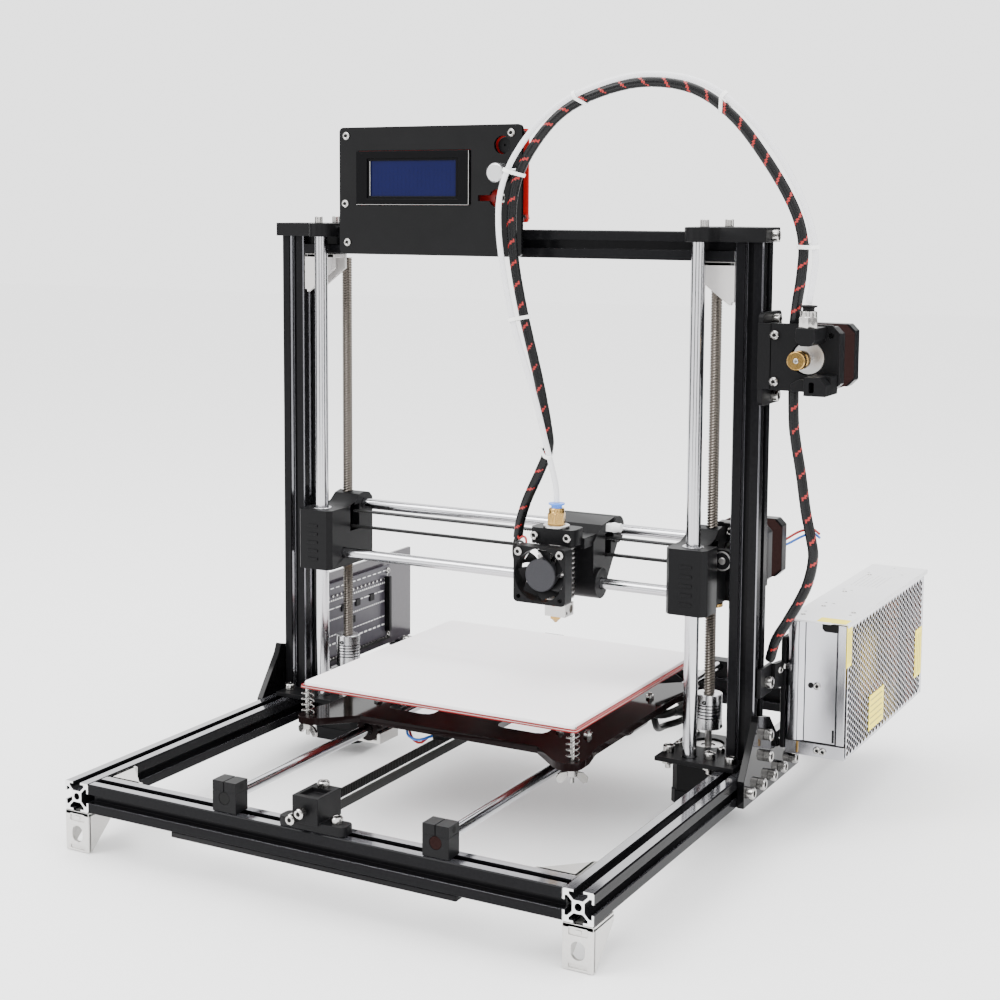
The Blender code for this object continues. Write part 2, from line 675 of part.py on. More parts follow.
cut(module, rod("Y", 240, 252.0, KNOB, 3.3, 16))
keep(show(module), "display_module", lcd)
keep(smooth(show(rod("Y", 238.5, 251.0, KNOB, 3.0, 16))), "encoder_shaft", metal)
knob_body = turned("knob", None, [(0, -6.8), (6.4, -6.8), (7.2, -7.8), (6.6, -17.8), (5.9, -18.6),
                                  (0, -18.6)], "Z", at(KNOB[0], 250.0, KNOB[1]), 28)
knob_body.matrix_world = (
    Matrix.Translation(at(KNOB[0], 250.0, KNOB[1])) @ Matrix.Rotation(math.radians(-90), 4, "X")
)
cut(knob_body, rod("Y", 238.2, 260, KNOB, 3.3, 16))
keep(smooth(show(knob_body)), "display_knob", metal)
keep(smooth(show(rod("Y", 245.0, 249.9, RESET, 1.9, 12))), "reset_button", moulded)

# ---------------------------------------------------------------- electronics and power supply

backing = block((-196.0, 290.0, 51.5), (-193.0, 450.0, 131.0))
tabs = [block((-196.0, y, BEAM_TOP + GAP), (-182.0, y + 14, 52.5)) for y in (300.0, 428.0)]
join(backing, *tabs)
keep(show(backing), "electronics_plate", acrylic)
controller = block((-190.4, 292.0, 58.5), (-188.8, 408.0, 123.0))
standoffs = []
for y in (296.5, 403.5):
    for z in (63.0, 118.5):
        standoffs.append(rod("X", -192.7, -190.0, (y, z), 3.0, 12))
join(controller, *standoffs)
keep(show(controller), "controller_board", board)

supply_plate = plate("X", 201.9, 205.7, [(295, 52), (480, 52), (480, 133), (295, 133)],
                     [rounded(350, 440, 72, 113, 6.0, 2)])
ear = block((199.5, 283.0, 96.0), (203.0, 300.0, 116.0))
ear_out = block((196.4, 262.0, 96.0), (199.8, 286.0, 116.0))
join(supply_plate, ear, ear_out)
keep(show(supply_plate), "power_supply_plate", moulded)
supply = block((206.0, 300.0, 50.0), (249.0, 499.0, 147.0))
lid = block((206.2, 291.5, 146.4), (248.8, 505.0, 148.0))
join(supply, lid)
cut(supply, block((209.5, 290.0, 53.0), (245.5, 313.0, 140.0)))
keep(show(supply), "power_supply", zinc)

# ---------------------------------------------------------------- extruder on the right upright

EXTRUDER = (231.0, 334.0)
face_outline = [(196.4, 312), (252, 312), (252, 356), (196.4, 356)]
face = plate("Y", 250.0, 253.0, face_outline, [circle(*EXTRUDER, 11.5)])
side_ear = block((FRAME_HALF + GAP, 250.5, 300.0), (199.6, 288.0, 363.0))
guide = block((230.5, 224.0, 344.0), (243.5, 251.0, 355.5))
idler = block((236.5, 225.0, 311.5), (251.5, 251.0, 324.0))
fitting = rod("Z", 355.0, 366.0, (237.0, 231.0), 6.2, 6)
collet = rod("Z", 365.5, 370.5, (237.0, 231.0), 4.0, 16)
join(face, side_ear, guide, idler, fitting, collet)
cut(face, rod("Y", 225, 249, EXTRUDER, 7.0))
keep(smooth(show(face)), "extruder_bracket", moulded)
motor("extruder_motor", EXTRUDER, "Y", 253.3, 295.0, 239.0, motor_black)
gear = [(0, 0), (5.2, 0), (6.2, -1.0), (6.2, -4.0), (5.4, -5.0), (5.4, -7.0), (6.2, -8.0)]
gear += [(6.2, -13.4), (0, -13.4)]
gear_body = turned("drive_gear", None, gear, "Z", at(EXTRUDER[0], 225.0, EXTRUDER[1]), 24)
gear_body.matrix_world = (
    Matrix.Translation(at(EXTRUDER[0], 225.0, EXTRUDER[1])) @ Matrix.Rotation(math.radians(90), 4, "X")
)
keep(smooth(show(gear_body)), "drive_gear", brass)


# ---------------------------------------------------------------- cables and filament tube


def spread(route, step):
    """Points along a smooth curve through a route, about a step apart."""
    points = [Vector(p) for p in route]
    points = [points[0] * 2 - points[1]] + points + [points[-1] * 2 - points[-2]]
    fine = []
    for i in range(1, len(points) - 2):
        p0, p1, p2, p3 = points[i - 1:i + 3]
        for j in range(40):
            t = j / 40
            fine.append(0.5 * (2 * p1 + (p2 - p0) * t + (2 * p0 - 5 * p1 + 4 * p2 - p3) * t * t
                               + (3 * p1 - p0 - 3 * p2 + p3) * t * t * t))
    fine.append(points[-2])
    lengths = [0.0]
    for a, b in zip(fine, fine[1:]):
        lengths.append(lengths[-1] + (b - a).length)
    count = max(2, round(lengths[-1] / step))
    even = []
    k = 0
    for i in range(count + 1):
        target = lengths[-1] * i / count
        while k < len(fine) - 2 and lengths[k + 1] < target:
            k += 1
        span = lengths[k + 1] - lengths[k]
        even.append(fine[k].lerp(fine[k + 1], (target - lengths[k]) / span if span else 0.0))
    return even


def cable(name, points, radius, look, detail):
    curve = bpy.data.curves.new(name, "CURVE")
    curve.dimensions = "3D"
    curve.bevel_depth = radius * MM
    curve.bevel_resolution = detail
    curve.use_fill_caps = True
    line = curve.splines.new("POLY")
    line.points.add(len(points) - 1)
    for point, place in zip(line.points, points):
        point.co = (place.x * MM, place.y * MM, place.z * MM, 1.0)
    obj = bpy.data.objects.new(name, curve)
    curve.materials.append(look)
    obj.parent = origin
    parts.objects.link(obj)
    return obj


def split_at_top(points):
    """Two runs of points that meet, a gap apart, at the highest point."""
    top = max(range(len(points)), key=lambda i: points[i].z)
    level = (points[top + 1] - points[top - 1]).normalized()
    apex = points[top]
    first = points[:top] + [apex - level * 3.0, apex - level * GAP / 2]
    second = [apex + level * GAP / 2, apex + level * 3.0] + points[top + 1:]
    return first, second


LOOM = [(25.5, 234, 197), (28, 233, 209.5), (34, 232, 226), (43, 232, 245), (50, 232, 262)]
LOOM += [(49.5, 232, 276), (42, 232, 311), (29, 232, 360)]
LOOM += [(21, 232, 402), (20, 233, 438), (29, 235, 466), (51, 237, 494), (77, 240, 509)]
LOOM += [(113, 243, 517), (148, 247, 512), (176, 250, 493), (200, 252, 463), (218, 253, 433)]
LOOM += [(225, 253, 410), (224, 254, 388), (221, 256, 371), (219, 258, 359.5)]
carriage_run, fixed_run = split_at_top(spread(LOOM, 13.0))
cable("loom_carriage_half", carriage_run, 3.5, sleeve, 2)
cable("loom_fixed_half", fixed_run, 3.5, sleeve, 2)

LOWER = [(220, 254, 307), (221, 254, 291), (223, 254, 277), (227, 254, 256), (231, 254, 231)]
LOWER += [(235, 254, 213), (236.5, 255, 200), (233, 257, 183), (226, 260, 168), (216, 264, 151)]
LOWER += [(207, 270, 137), (202, 275, 128)]
cable("loom_lower", spread(LOWER, 13.0), 3.5, sleeve, 2)

TUBE = [(59.5, 227, 226.3), (58.5, 226.5, 240), (52, 223, 270), (43, 221, 305), (29, 220, 347)]
TUBE += [(20, 219, 389), (16, 219, 420), (18, 219, 445), (29, 220, 470), (51, 221, 495)]
TUBE += [(81, 222, 512), (122, 223, 521), (164, 225, 514), (195, 226, 492), (219, 228, 462)]
TUBE += [(235, 229, 430), (241, 230, 404), (239.0, 231, 384), (237, 231, 371.2)]
carriage_run, fixed_run = split_at_top(spread(TUBE, 13.0))
cable("filament_tube_carriage_half", carriage_run, 2.0, tube_look, 2)
cable("filament_tube_fixed_half", fixed_run, 2.0, tube_look, 2)
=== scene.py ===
"""Looks for a desktop filament printer with an extrusion frame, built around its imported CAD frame.

Sizes are millimetres in the frame's own layout: X from the middle of the front beam to the right,
Y from its front face to the back, Z up from the floor.
"""

import json
import math

import bmesh
import bpy
from mathutils import Matrix, Vector


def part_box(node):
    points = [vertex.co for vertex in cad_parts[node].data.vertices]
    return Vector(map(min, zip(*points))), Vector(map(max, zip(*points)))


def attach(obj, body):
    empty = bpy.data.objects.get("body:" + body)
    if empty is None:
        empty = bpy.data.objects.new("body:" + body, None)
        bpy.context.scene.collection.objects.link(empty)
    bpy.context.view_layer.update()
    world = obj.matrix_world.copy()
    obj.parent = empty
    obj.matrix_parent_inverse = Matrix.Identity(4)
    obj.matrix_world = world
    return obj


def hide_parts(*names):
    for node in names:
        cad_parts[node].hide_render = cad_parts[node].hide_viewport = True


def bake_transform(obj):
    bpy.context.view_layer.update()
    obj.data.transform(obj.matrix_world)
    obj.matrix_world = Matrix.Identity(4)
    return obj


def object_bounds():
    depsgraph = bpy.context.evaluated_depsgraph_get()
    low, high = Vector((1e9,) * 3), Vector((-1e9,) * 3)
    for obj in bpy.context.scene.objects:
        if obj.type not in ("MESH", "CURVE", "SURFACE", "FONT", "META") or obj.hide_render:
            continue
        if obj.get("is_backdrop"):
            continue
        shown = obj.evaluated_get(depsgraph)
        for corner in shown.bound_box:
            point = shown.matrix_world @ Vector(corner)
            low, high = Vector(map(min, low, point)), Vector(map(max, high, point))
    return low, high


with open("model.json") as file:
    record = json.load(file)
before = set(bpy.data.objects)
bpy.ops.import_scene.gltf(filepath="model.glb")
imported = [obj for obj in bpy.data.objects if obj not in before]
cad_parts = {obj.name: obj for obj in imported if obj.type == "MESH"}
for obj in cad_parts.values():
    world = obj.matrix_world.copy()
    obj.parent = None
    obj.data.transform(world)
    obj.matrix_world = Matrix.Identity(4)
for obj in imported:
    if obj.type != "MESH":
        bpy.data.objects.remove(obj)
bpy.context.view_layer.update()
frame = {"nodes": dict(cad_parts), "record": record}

MM = 0.001
beam_low, beam_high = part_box("front_beam")
ORIGIN = Vector(((beam_low.x + beam_high.x) / 2, beam_low.y, 0.0))
TO_WORLD = Matrix.Translation(ORIGIN) @ Matrix.Scale(MM, 4)


def place(x, y, z):
    return TO_WORLD @ Vector((x, y, z))


def span(node):
    """A CAD node's lowest and highest corner, in millimetres of the frame's layout."""
    low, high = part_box(node)
    back = TO_WORLD.inverted()
    return back @ low, back @ high


def middle(node):
    low, high = span(node)
    return (low + high) / 2


BODY_OF = {
    node: body
    for body, members in frame["record"]["behaviour"]["bodies"].items()
    for node in members
}

# ---------------------------------------------------------------- materials


def look(name, colour, roughness, metallic=0.0, grain=900.0, vary=0.08, bump=0.0, stretch=(1, 1, 1),
         coat=0.0, uneven=0.05, shine=0.5):
    """A Principled material whose colour, roughness and surface vary with a fine noise."""
    made = bpy.data.materials.new(name)
    made.use_nodes = True
    nodes = made.node_tree.nodes
    links = made.node_tree.links
    shader = nodes["Principled BSDF"]
    shader.inputs["Metallic"].default_value = metallic
    shader.inputs["Coat Weight"].default_value = coat
    shader.inputs["Coat Roughness"].default_value = 0.08
    shader.inputs["Specular IOR Level"].default_value = shine
    where = nodes.new("ShaderNodeTexCoord")
    scale = nodes.new("ShaderNodeMapping")
    scale.inputs["Scale"].default_value = stretch
    grainy = nodes.new("ShaderNodeTexNoise")
    grainy.inputs["Scale"].default_value = grain
    grainy.inputs["Detail"].default_value = 3.0
    links.new(where.outputs["Object"], scale.inputs["Vector"])
    links.new(scale.outputs["Vector"], grainy.inputs["Vector"])
    blend = nodes.new("ShaderNodeMix")
    blend.data_type = "RGBA"
    dark = [c * (1 - vary) for c in colour]
    light = [min(1.0, c * (1 + vary) + vary * 0.01) for c in colour]
    blend.inputs[6].default_value = (*dark, 1.0)
    blend.inputs[7].default_value = (*light, 1.0)
    links.new(grainy.outputs["Fac"], blend.inputs[0])
    links.new(blend.outputs[2], shader.inputs["Base Color"])
    rough = nodes.new("ShaderNodeMapRange")
    rough.inputs["To Min"].default_value = max(0.02, roughness - uneven)
    rough.inputs["To Max"].default_value = roughness + uneven
    links.new(grainy.outputs["Fac"], rough.inputs["Value"])
    links.new(rough.outputs["Result"], shader.inputs["Roughness"])
    if bump:
        relief = nodes.new("ShaderNodeBump")
        relief.inputs["Strength"].default_value = 0.35
        relief.inputs["Distance"].default_value = bump * MM
        links.new(grainy.outputs["Fac"], relief.inputs["Height"])
        links.new(relief.outputs["Normal"], shader.inputs["Normal"])
    return made


ANODISED = look("anodised_black", (0.0045, 0.0045, 0.0052), 0.16, 0.0, 500, 0.2, 0.003, shine=0.06)
# Painted highlight: a lighter, shinier copy of the black anodising, for faces that catch the sky.
ANODISED_PAINTED_HIGHLIGHT = look("anodised_black_painted_highlight", (0.14, 0.14, 0.155), 0.1, 0.8, 500, 0.2, 0.0, coat=1.0,
    uneven=0.03)
BRACKET = look("bracket_aluminium", (0.5, 0.485, 0.475), 0.45, 0.3, 700, 0.06, 0.03)
CUT_END = look("cut_aluminium", (0.8, 0.8, 0.8), 0.4, 0.8, 1600, 0.08, 0.02)
MOULDED = look("black_moulding", (0.0035, 0.0035, 0.004), 0.38, 0.0, 1400, 0.25, 0.03, shine=0.1)
ACRYLIC = look("black_acrylic", (0.0015, 0.0015, 0.0018), 0.06, 0.0, 60, 0.2, 0.0, uneven=0.02,
    shine=0.15)
SMOKED = look("dark_acrylic_plate", (0.006, 0.003, 0.003), 0.07, 0.0, 60, 0.2, 0.0, uneven=0.02,
    shine=0.08)
CASTING = look("die_casting", (0.6, 0.59, 0.57), 0.4, 0.7, 700, 0.1, 0.05)
GROUND = look("ground_rod", (0.52, 0.52, 0.54), 0.15, 1.0, 900, 0.05, 0.0, uneven=0.04)
THREAD = look("screw_thread", (0.13, 0.115, 0.1), 0.34, 1.0, 1500, 0.25, 0.01)
NICKEL = look("nickel_screw", (0.46, 0.45, 0.435), 0.2, 1.0, 1800, 0.14)
COUPLER = look("turned_aluminium", (0.55, 0.55, 0.56), 0.24, 1.0, 2500, 0.1, 0.01,
    stretch=(1, 1, 9))
KNOB = look("turned_knob", (0.62, 0.62, 0.63), 0.22, 0.95, 2500, 0.06, 0.01, stretch=(1, 9, 1))
CAP = look("motor_end_cap", (0.004, 0.004, 0.0048), 0.3, 0.0, 1200, 0.2, 0.03, shine=0.1)
# Motor laminations; also the painted shade on the right Y rod's end.
LAMINATIONS_AND_SHADE = look("motor_laminations_and_painted_shade", (0.014, 0.0065, 0.006), 0.5, 0.0, 800, 0.35, 0.04, shine=0.0)
ZINC = look("zinc_sheet", (0.5, 0.5, 0.53), 0.2, 1.0, 60, 0.08, 0.0, uneven=0.08)
LID = look("zinc_lid", (0.78, 0.78, 0.79), 0.4, 0.4, 300, 0.04, 0.0)
STICKER = look("yellow_label", (0.95, 0.78, 0.03), 0.5, 0.0, 2000, 0.04)
PRINT = look("label_print", (0.4, 0.34, 0.08), 0.6)
# Painted shade in sockets, grooves, holes and gaps; also the black oxide of the coupler grub screws.
PAINTED_SHADE_AND_BLACK_OXIDE = look("painted_shade_and_black_oxide", (0.006, 0.006, 0.006), 0.6, shine=0.1)
BOARD = look("black_board", (0.045, 0.041, 0.052), 0.3, 0.0, 300, 0.15, shine=0.3)
PANEL = look("grey_panel", (0.05, 0.044, 0.052), 0.16, 0.0, 300, 0.1, shine=0.5)
SILK = look("white_silk", (0.8, 0.8, 0.8), 0.5)
RED_BOARD = look("red_board", (0.4, 0.008, 0.008), 0.3, 0.0, 300, 0.1)
BED_RED = look("bed_red", (0.22, 0.012, 0.012), 0.35, 0.0, 300, 0.12, shine=0.2)
BED_TOP = look("bed_surface", (0.94, 0.905, 0.915), 0.5, 0.0, 1200, 0.03, 0.02)
BED_EDGE = look("bed_edge", (0.52, 0.46, 0.45), 0.5, 0.0, 900, 0.05)
BRASS = look("brass", (0.42, 0.26, 0.085), 0.22, 1.0, 1200, 0.12)
ALUMINIUM = look("machined_aluminium", (0.55, 0.54, 0.53), 0.3, 0.95, 1500, 0.1, 0.01)
FAN = look("fan_plastic", (0.004, 0.004, 0.0045), 0.4, 0.0, 1200, 0.25, 0.02, shine=0.1)
HUB = look("fan_hub", (0.03, 0.03, 0.034), 0.35, 0.0, 1200, 0.12, shine=0.15)
BLUE = look("blue_plastic", (0.05, 0.2, 0.75), 0.3, 0.0, 900, 0.1)
SCREEN = look("blue_display", (0.0015, 0.0028, 0.032), 0.12, 0.0, 30, 0.12, shine=0.1)
BEZEL = look("display_bezel", (0.002, 0.002, 0.0024), 0.2, 0.0, 900, 0.15, shine=0.05)
WHITE = look("white_nylon", (0.92, 0.92, 0.91), 0.35, 0.0, 900, 0.03)
WRAP = look("spiral_wrap", (0.004, 0.004, 0.0045), 0.28, 0.0, 900, 0.25, 0.02, shine=0.2)
TUBE = look("filament_tube", (0.72, 0.72, 0.74), 0.2, 0.0, 300, 0.05)
RED = look("red_wire", (0.3, 0.004, 0.003), 0.4)
WIRE_BLUE = look("blue_wire", (0.02, 0.12, 0.5), 0.4)
BLACK = look("black_wire", (0.004, 0.004, 0.004), 0.4, 0.0, 900, 0.2, shine=0.2)
BELT = look("belt_rubber", (0.005, 0.005, 0.005), 0.5, 0.0, 1500, 0.25, 0.03, shine=0.2)
COPPER = look("copper_winding", (0.7, 0.28, 0.12), 0.35, 0.9, 900, 0.2)
YELLOW = look("transformer_tape", (0.7, 0.5, 0.08), 0.45)
SPRING = look("spring_steel", (0.3, 0.295, 0.285), 0.25, 1.0, 900, 0.1)

# ---------------------------------------------------------------- shapes


def hexed(radius, angle):
    """The radius of a hexagon, whose corners lie on the given radius, at an angle."""
    sector = math.radians(60)
    return radius * math.cos(sector / 2) / math.cos(angle % sector - sector / 2)


def basis(direction):
    """Two axes across a direction."""
    along = Vector(direction).normalized()
    across = along.orthogonal().normalized()
    return across, along.cross(across), along


TURNS = {
    "X": lambda a, b, c: (c, a, b),
    "Y": lambda a, b, c: (a, c, b),
    "Z": lambda a, b, c: (a, b, c),
}


def circle(x, y, radius, sides=20):
    angles = [2 * math.pi * i / sides for i in range(sides)]
    return [(x + radius * math.cos(a), y + radius * math.sin(a)) for a in angles]


def rounded(x0, x1, y0, y1, radius, steps=4):
    ring = []
    for x, y, first in ((x1 - radius, y0 + radius, -90), (x1 - radius, y1 - radius, 0),
            (x0 + radius, y1 - radius, 90), (x0 + radius, y0 + radius, 180)):
        for i in range(steps + 1):
            angle = math.radians(first + 90 * i / steps)
            ring.append((x + radius * math.cos(angle), y + radius * math.sin(angle)))
    return ring


def cut_square(x, y, half, corner):
    """A square with its four corners cut off."""
    ring = []
    for a, b in ((1, -1), (1, 1), (-1, 1), (-1, -1)):
        near = (x + a * half, y + b * (half - corner))
        far = (x + a * (half - corner), y + b * half)
        ring += [far, near] if a * b < 0 else [near, far]
    return ring


class Shape:
    """Collects solids, in millimetres of the frame's layout, for one piece."""

    def __init__(self):
        self.work = bmesh.new()

    def block(self, corner, opposite):
        """A box between two opposite corners, in any order."""
        low = Vector([min(pair) for pair in zip(corner, opposite)])
        high = Vector([max(pair) for pair in zip(corner, opposite)])
        made = bmesh.ops.create_cube(self.work, size=1.0)["verts"]
        bmesh.ops.scale(self.work, vec=high - low, verts=made)
        bmesh.ops.translate(self.work, vec=(low + high) / 2, verts=made)
        return self

    def lathe(self, base, direction, profile, sides=24, hollow=False):
        """Turns (radius, height) pairs round a line; a third value "hex" makes that ring a hexagon.

        The ends are capped, or with hollow joined to each other, which leaves an open bore."""
        u, v, w = basis(direction)
        base = Vector(base)
        rings = []
        for entry in profile:
            radius, height = entry[0], entry[1]
            if radius == 0:
                rings.append([self.work.verts.new(base + w * height)])
                continue
            ring = []
            for i in range(sides):
                angle = 2 * math.pi * i / sides
                r = hexed(radius, angle) if len(entry) > 2 else radius
                ring.append(self.work.verts.new(
                    base + w * height + u * (r * math.cos(angle)) + v * (r * math.sin(angle))))
            rings.append(ring)
        if hollow:
            rings.append(rings[0])
        for first, second in zip(rings, rings[1:]):
            for i in range(sides):
                j = (i + 1) % sides
                if len(first) == 1 and len(second) == 1:
                    break
                if len(first) == 1:
                    corners = (first[0], second[i], second[j])
                elif len(second) == 1:
                    corners = (first[i], second[0], first[j])
                else:
                    corners = (first[i], second[i], second[j], first[j])
                self.work.faces.new(corners)
        for ring, flip in ((rings[0], False), (rings[-1], True)):
            if len(ring) > 1 and not hollow:
                self.work.faces.new(ring if not flip else list(reversed(ring)))
        return self

    def rod(self, start, end, radius, sides=20, edge=0.0):
        start, end = Vector(start), Vector(end)
        length = (end - start).length
        profile = [(radius, edge), (radius, length - edge)]
        if edge:
            profile = [(radius - edge, 0), *profile, (radius - edge, length)]
        return self.lathe(start, end - start, profile, sides)

    def slab(self, low_ring, high_ring):
        """The solid between two rings with as many corners each."""
        first = [self.work.verts.new(corner) for corner in low_ring]
        second = [self.work.verts.new(corner) for corner in high_ring]
        self.work.faces.new(first)
        self.work.faces.new(list(reversed(second)))
        for i in range(len(first)):
            j = (i + 1) % len(first)
            self.work.faces.new((first[i], second[i], second[j], first[j]))
        return self

    def prism(self, axis, low, high, ring):
        turn = TURNS[axis]
        return self.slab([turn(a, b, low) for a, b in ring], [turn(a, b, high) for a, b in ring])

    def plate(self, axis, low, high, outline, holes=()):
        """A flat outline with holes, as thick as low to high along an axis."""
        turn = TURNS[axis]
        rings = [[self.work.verts.new(turn(a, b, low)) for a, b in ring] for ring in (outline,
            *holes)]
        edges = [self.work.edges.new((r[i - 1], r[i])) for r in rings for i in range(len(r))]
        filled = bmesh.ops.triangle_fill(self.work, use_beauty=True, use_dissolve=True, edges=edges)
        faces = [g for g in filled["geom"] if isinstance(g, bmesh.types.BMFace)]
        grown = bmesh.ops.extrude_face_region(self.work, geom=faces)
        moved = [g for g in grown["geom"] if isinstance(g, bmesh.types.BMVert)]
        shift = Vector(turn(0, 0, high)) - Vector(turn(0, 0, low))
        bmesh.ops.translate(self.work, vec=shift, verts=moved)
        return self

    def tube(self, points, radius, sides=12, ripple=None):
        """A tube along points; ripple(distance, angle) scales its radius."""
        points = [Vector(p) for p in points]
        across = (points[1] - points[0]).orthogonal().normalized()
        rings = []
        travelled = 0.0
        for i, point in enumerate(points):
            before = points[max(0, i - 1)]
            after = points[min(len(points) - 1, i + 1)]
            along = (after - before).normalized()
            across = (across - along * across.dot(along)).normalized()
            side = along.cross(across)
            if i:
                travelled += (point - points[i - 1]).length
            ring = []
            for k in range(sides):
                angle = 2 * math.pi * k / sides
                r = radius * (ripple(travelled, angle) if ripple else 1.0)
                ring.append(self.work.verts.new(
                    point + across * (r * math.cos(angle)) + side * (r * math.sin(angle))))
            rings.append(ring)
        for first, second in zip(rings, rings[1:]):
            for k in range(sides):
                j = (k + 1) % sides
                self.work.faces.new((first[k], first[j], second[j], second[k]))
        self.work.faces.new(list(reversed(rings[0])))
        self.work.faces.new(rings[-1])
        return self

    def screw(self, seat, direction, radius=4.25, height=5.0, socket=2.4):
        """A cap-head screw, with a hexagon socket, standing on seat."""
        profile = [(radius - 0.4, 0), (radius, 0.2), (radius, height - 0.7), (radius - 0.7, height)]
        profile += [(socket + 0.15, height), (socket, height - 0.2, "hex"),
                    (socket, height * 0.35, "hex")]
        profile += [(0, height * 0.3)]
        return self.lathe(seat, direction, profile, 24)

    def nut(self, seat, direction, radius=3.2, height=2.4, bolt=1.5, proud=1.6):
        profile = [(radius, 0, "hex"), (radius, height - 0.3, "hex"), (radius - 0.5, height)]
        profile += [(bolt, height), (bolt, height + proud - 0.3), (bolt - 0.3, height + proud),
                    (0, height + proud)]
        return self.lathe(seat, direction, profile, 24)

    def done(self, name, material, body, edge=0.0, degrees=35.0, replaces=(), slot=None):
        """Makes the piece, rides it on a body, and hides the CAD nodes that it stands for."""
        bmesh.ops.recalc_face_normals(self.work, faces=self.work.faces)
        bmesh.ops.transform(self.work, matrix=TO_WORLD, verts=self.work.verts)
        mesh = bpy.data.meshes.new(name)
        self.work.to_mesh(mesh)
        self.work.free()
        mesh.shade_smooth()
        mesh.set_sharp_from_angle(angle=math.radians(degrees))
        piece = bpy.data.objects.new(name, mesh)
        bpy.context.scene.collection.objects.link(piece)
        mesh.materials.append(material)
        if edge:
            round_edges(piece, edge)
        if body:
            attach(piece, body)
        if replaces:
            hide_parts(*replaces)
        return piece


def round_edges(piece, width, segments=2):
    soften = piece.modifiers.new("edges", "BEVEL")
    soften.width = width * MM
    soften.segments = segments
    soften.limit_method = "ANGLE"
    soften.angle_limit = math.radians(38)
    soften.harden_normals = True
    soften.use_clamp_overlap = True


def refine(node, material, edge=0.4, segments=2, degrees=35.0):
    """A copy of a CAD node with its flat facets merged and its edges rounded, in its place."""
    mesh = frame["nodes"][node].data.copy()
    work = bmesh.new()
    work.from_mesh(mesh)
    bmesh.ops.remove_doubles(work, verts=work.verts, dist=0.000002)
    bmesh.ops.dissolve_limit(work, angle_limit=math.radians(0.6), verts=work.verts,
        edges=work.edges)
    work.to_mesh(mesh)
    work.free()
    mesh.materials.clear()
    mesh.materials.append(material)
    mesh.shade_smooth()
    mesh.set_sharp_from_angle(angle=math.radians(degrees))
    piece = bpy.data.objects.new(node + "_surface", mesh)
    bpy.context.scene.collection.objects.link(piece)
    if edge:
        round_edges(piece, edge, segments)
    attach(piece, BODY_OF[node])
    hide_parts(node)
    return piece


SLOT_OF = {entry["node"]: entry["material_slot"] for entry in frame["record"]["subparts"]}


def smooth_path(route, step):
    """Points about a step apart along a smooth curve through a route."""
    points = [Vector(p) for p in route]
    points = [points[0] * 2 - points[1]] + points + [points[-1] * 2 - points[-2]]
    fine = []
    for i in range(1, len(points) - 2):
        p0, p1, p2, p3 = points[i - 1:i + 3]
        for j in range(40):
            t = j / 40
            fine.append(0.5 * (2 * p1 + (p2 - p0) * t + (2 * p0 - 5 * p1 + 4 * p2 - p3) * t * t
                               + (3 * p1 - p0 - 3 * p2 + p3) * t * t * t))
    fine.append(points[-2])
    lengths = [0.0]
    for a, b in zip(fine, fine[1:]):
        lengths.append(lengths[-1] + (b - a).length)
    count = max(2, round(lengths[-1] / step))
    even = []
    k = 0
    for i in range(count + 1):
        target = lengths[-1] * i / count
        while k < len(fine) - 2 and lengths[k + 1] < target:
            k += 1
        gap = lengths[k + 1] - lengths[k]
        even.append(fine[k].lerp(fine[k + 1], (target - lengths[k]) / gap if gap else 0.0))
    return even


# ---------------------------------------------------------------- camera and light

CAMERA_AT = (595.9, -873.7, 436.7)
YAW, PITCH, ROLL = 0.5207, -0.1071, 0.0024
LENS_MM = 63.35
LENS_SHIFT = (0.06, -0.11)
SKY_STRENGTH = 2.5
FLAG_HEIGHT = 1300.0
# Dark cards: degrees round from the camera, distance and width in millimetres.
FLAGS = [(14, 1500, 330), (60, 1500, 520), (-42, 1500, 420), (120, 1500, 950), (-118, 1500, 950)]
forward = Vector((-math.sin(YAW) * math.cos(PITCH), math.cos(YAW) * math.cos(PITCH),
    math.sin(PITCH)))
level = Vector((math.cos(YAW), math.sin(YAW), 0.0))
upward = level.cross(forward)
right = level * math.cos(ROLL) + upward * math.sin(ROLL)
above = upward * math.cos(ROLL) - level * math.sin(ROLL)
lens = bpy.data.cameras.new("camera")
lens.sensor_width = 36.0
lens.lens = LENS_MM
lens.shift_x, lens.shift_y = LENS_SHIFT
lens.clip_start = 0.01
camera = bpy.data.objects.new("camera", lens)
camera.matrix_world = Matrix.Translation(place(*CAMERA_AT)) @ Matrix(
    (right, above, -forward)).transposed().to_4x4()
bpy.context.scene.collection.objects.link(camera)
bpy.context.scene.camera = camera

world = bpy.data.worlds.new("studio")
world.use_nodes = True
world.node_tree.nodes["Background"].inputs["Color"].default_value = (1.0, 1.0, 1.0, 1.0)
world.node_tree.nodes["Background"].inputs["Strength"].default_value = SKY_STRENGTH
bpy.context.scene.world = world


def soft_light(name, where, target, size, power):
    lamp = bpy.data.lights.new(name, "AREA")
    lamp.shape = "RECTANGLE"
    lamp.size = size[0]
    lamp.size_y = size[1]
    lamp.energy = power
    holder = bpy.data.objects.new(name, lamp)
    holder.location = where
    holder.rotation_euler = (Vector(target) - Vector(where)).to_track_quat("-Z", "Y").to_euler()
    bpy.context.scene.collection.objects.link(holder)


soft_light("key", (-0.9, -1.1, 1.6), (0, 0, 0.15), (1.0, 1.0), 30)
soft_light("top", (0.1, 0.2, 1.9), (0, 0, 0.1), (1.4, 1.4), 24)
soft_light("side", (1.8, -0.2, 0.9), (0, 0, 0.2), (0.7, 1.2), 14)

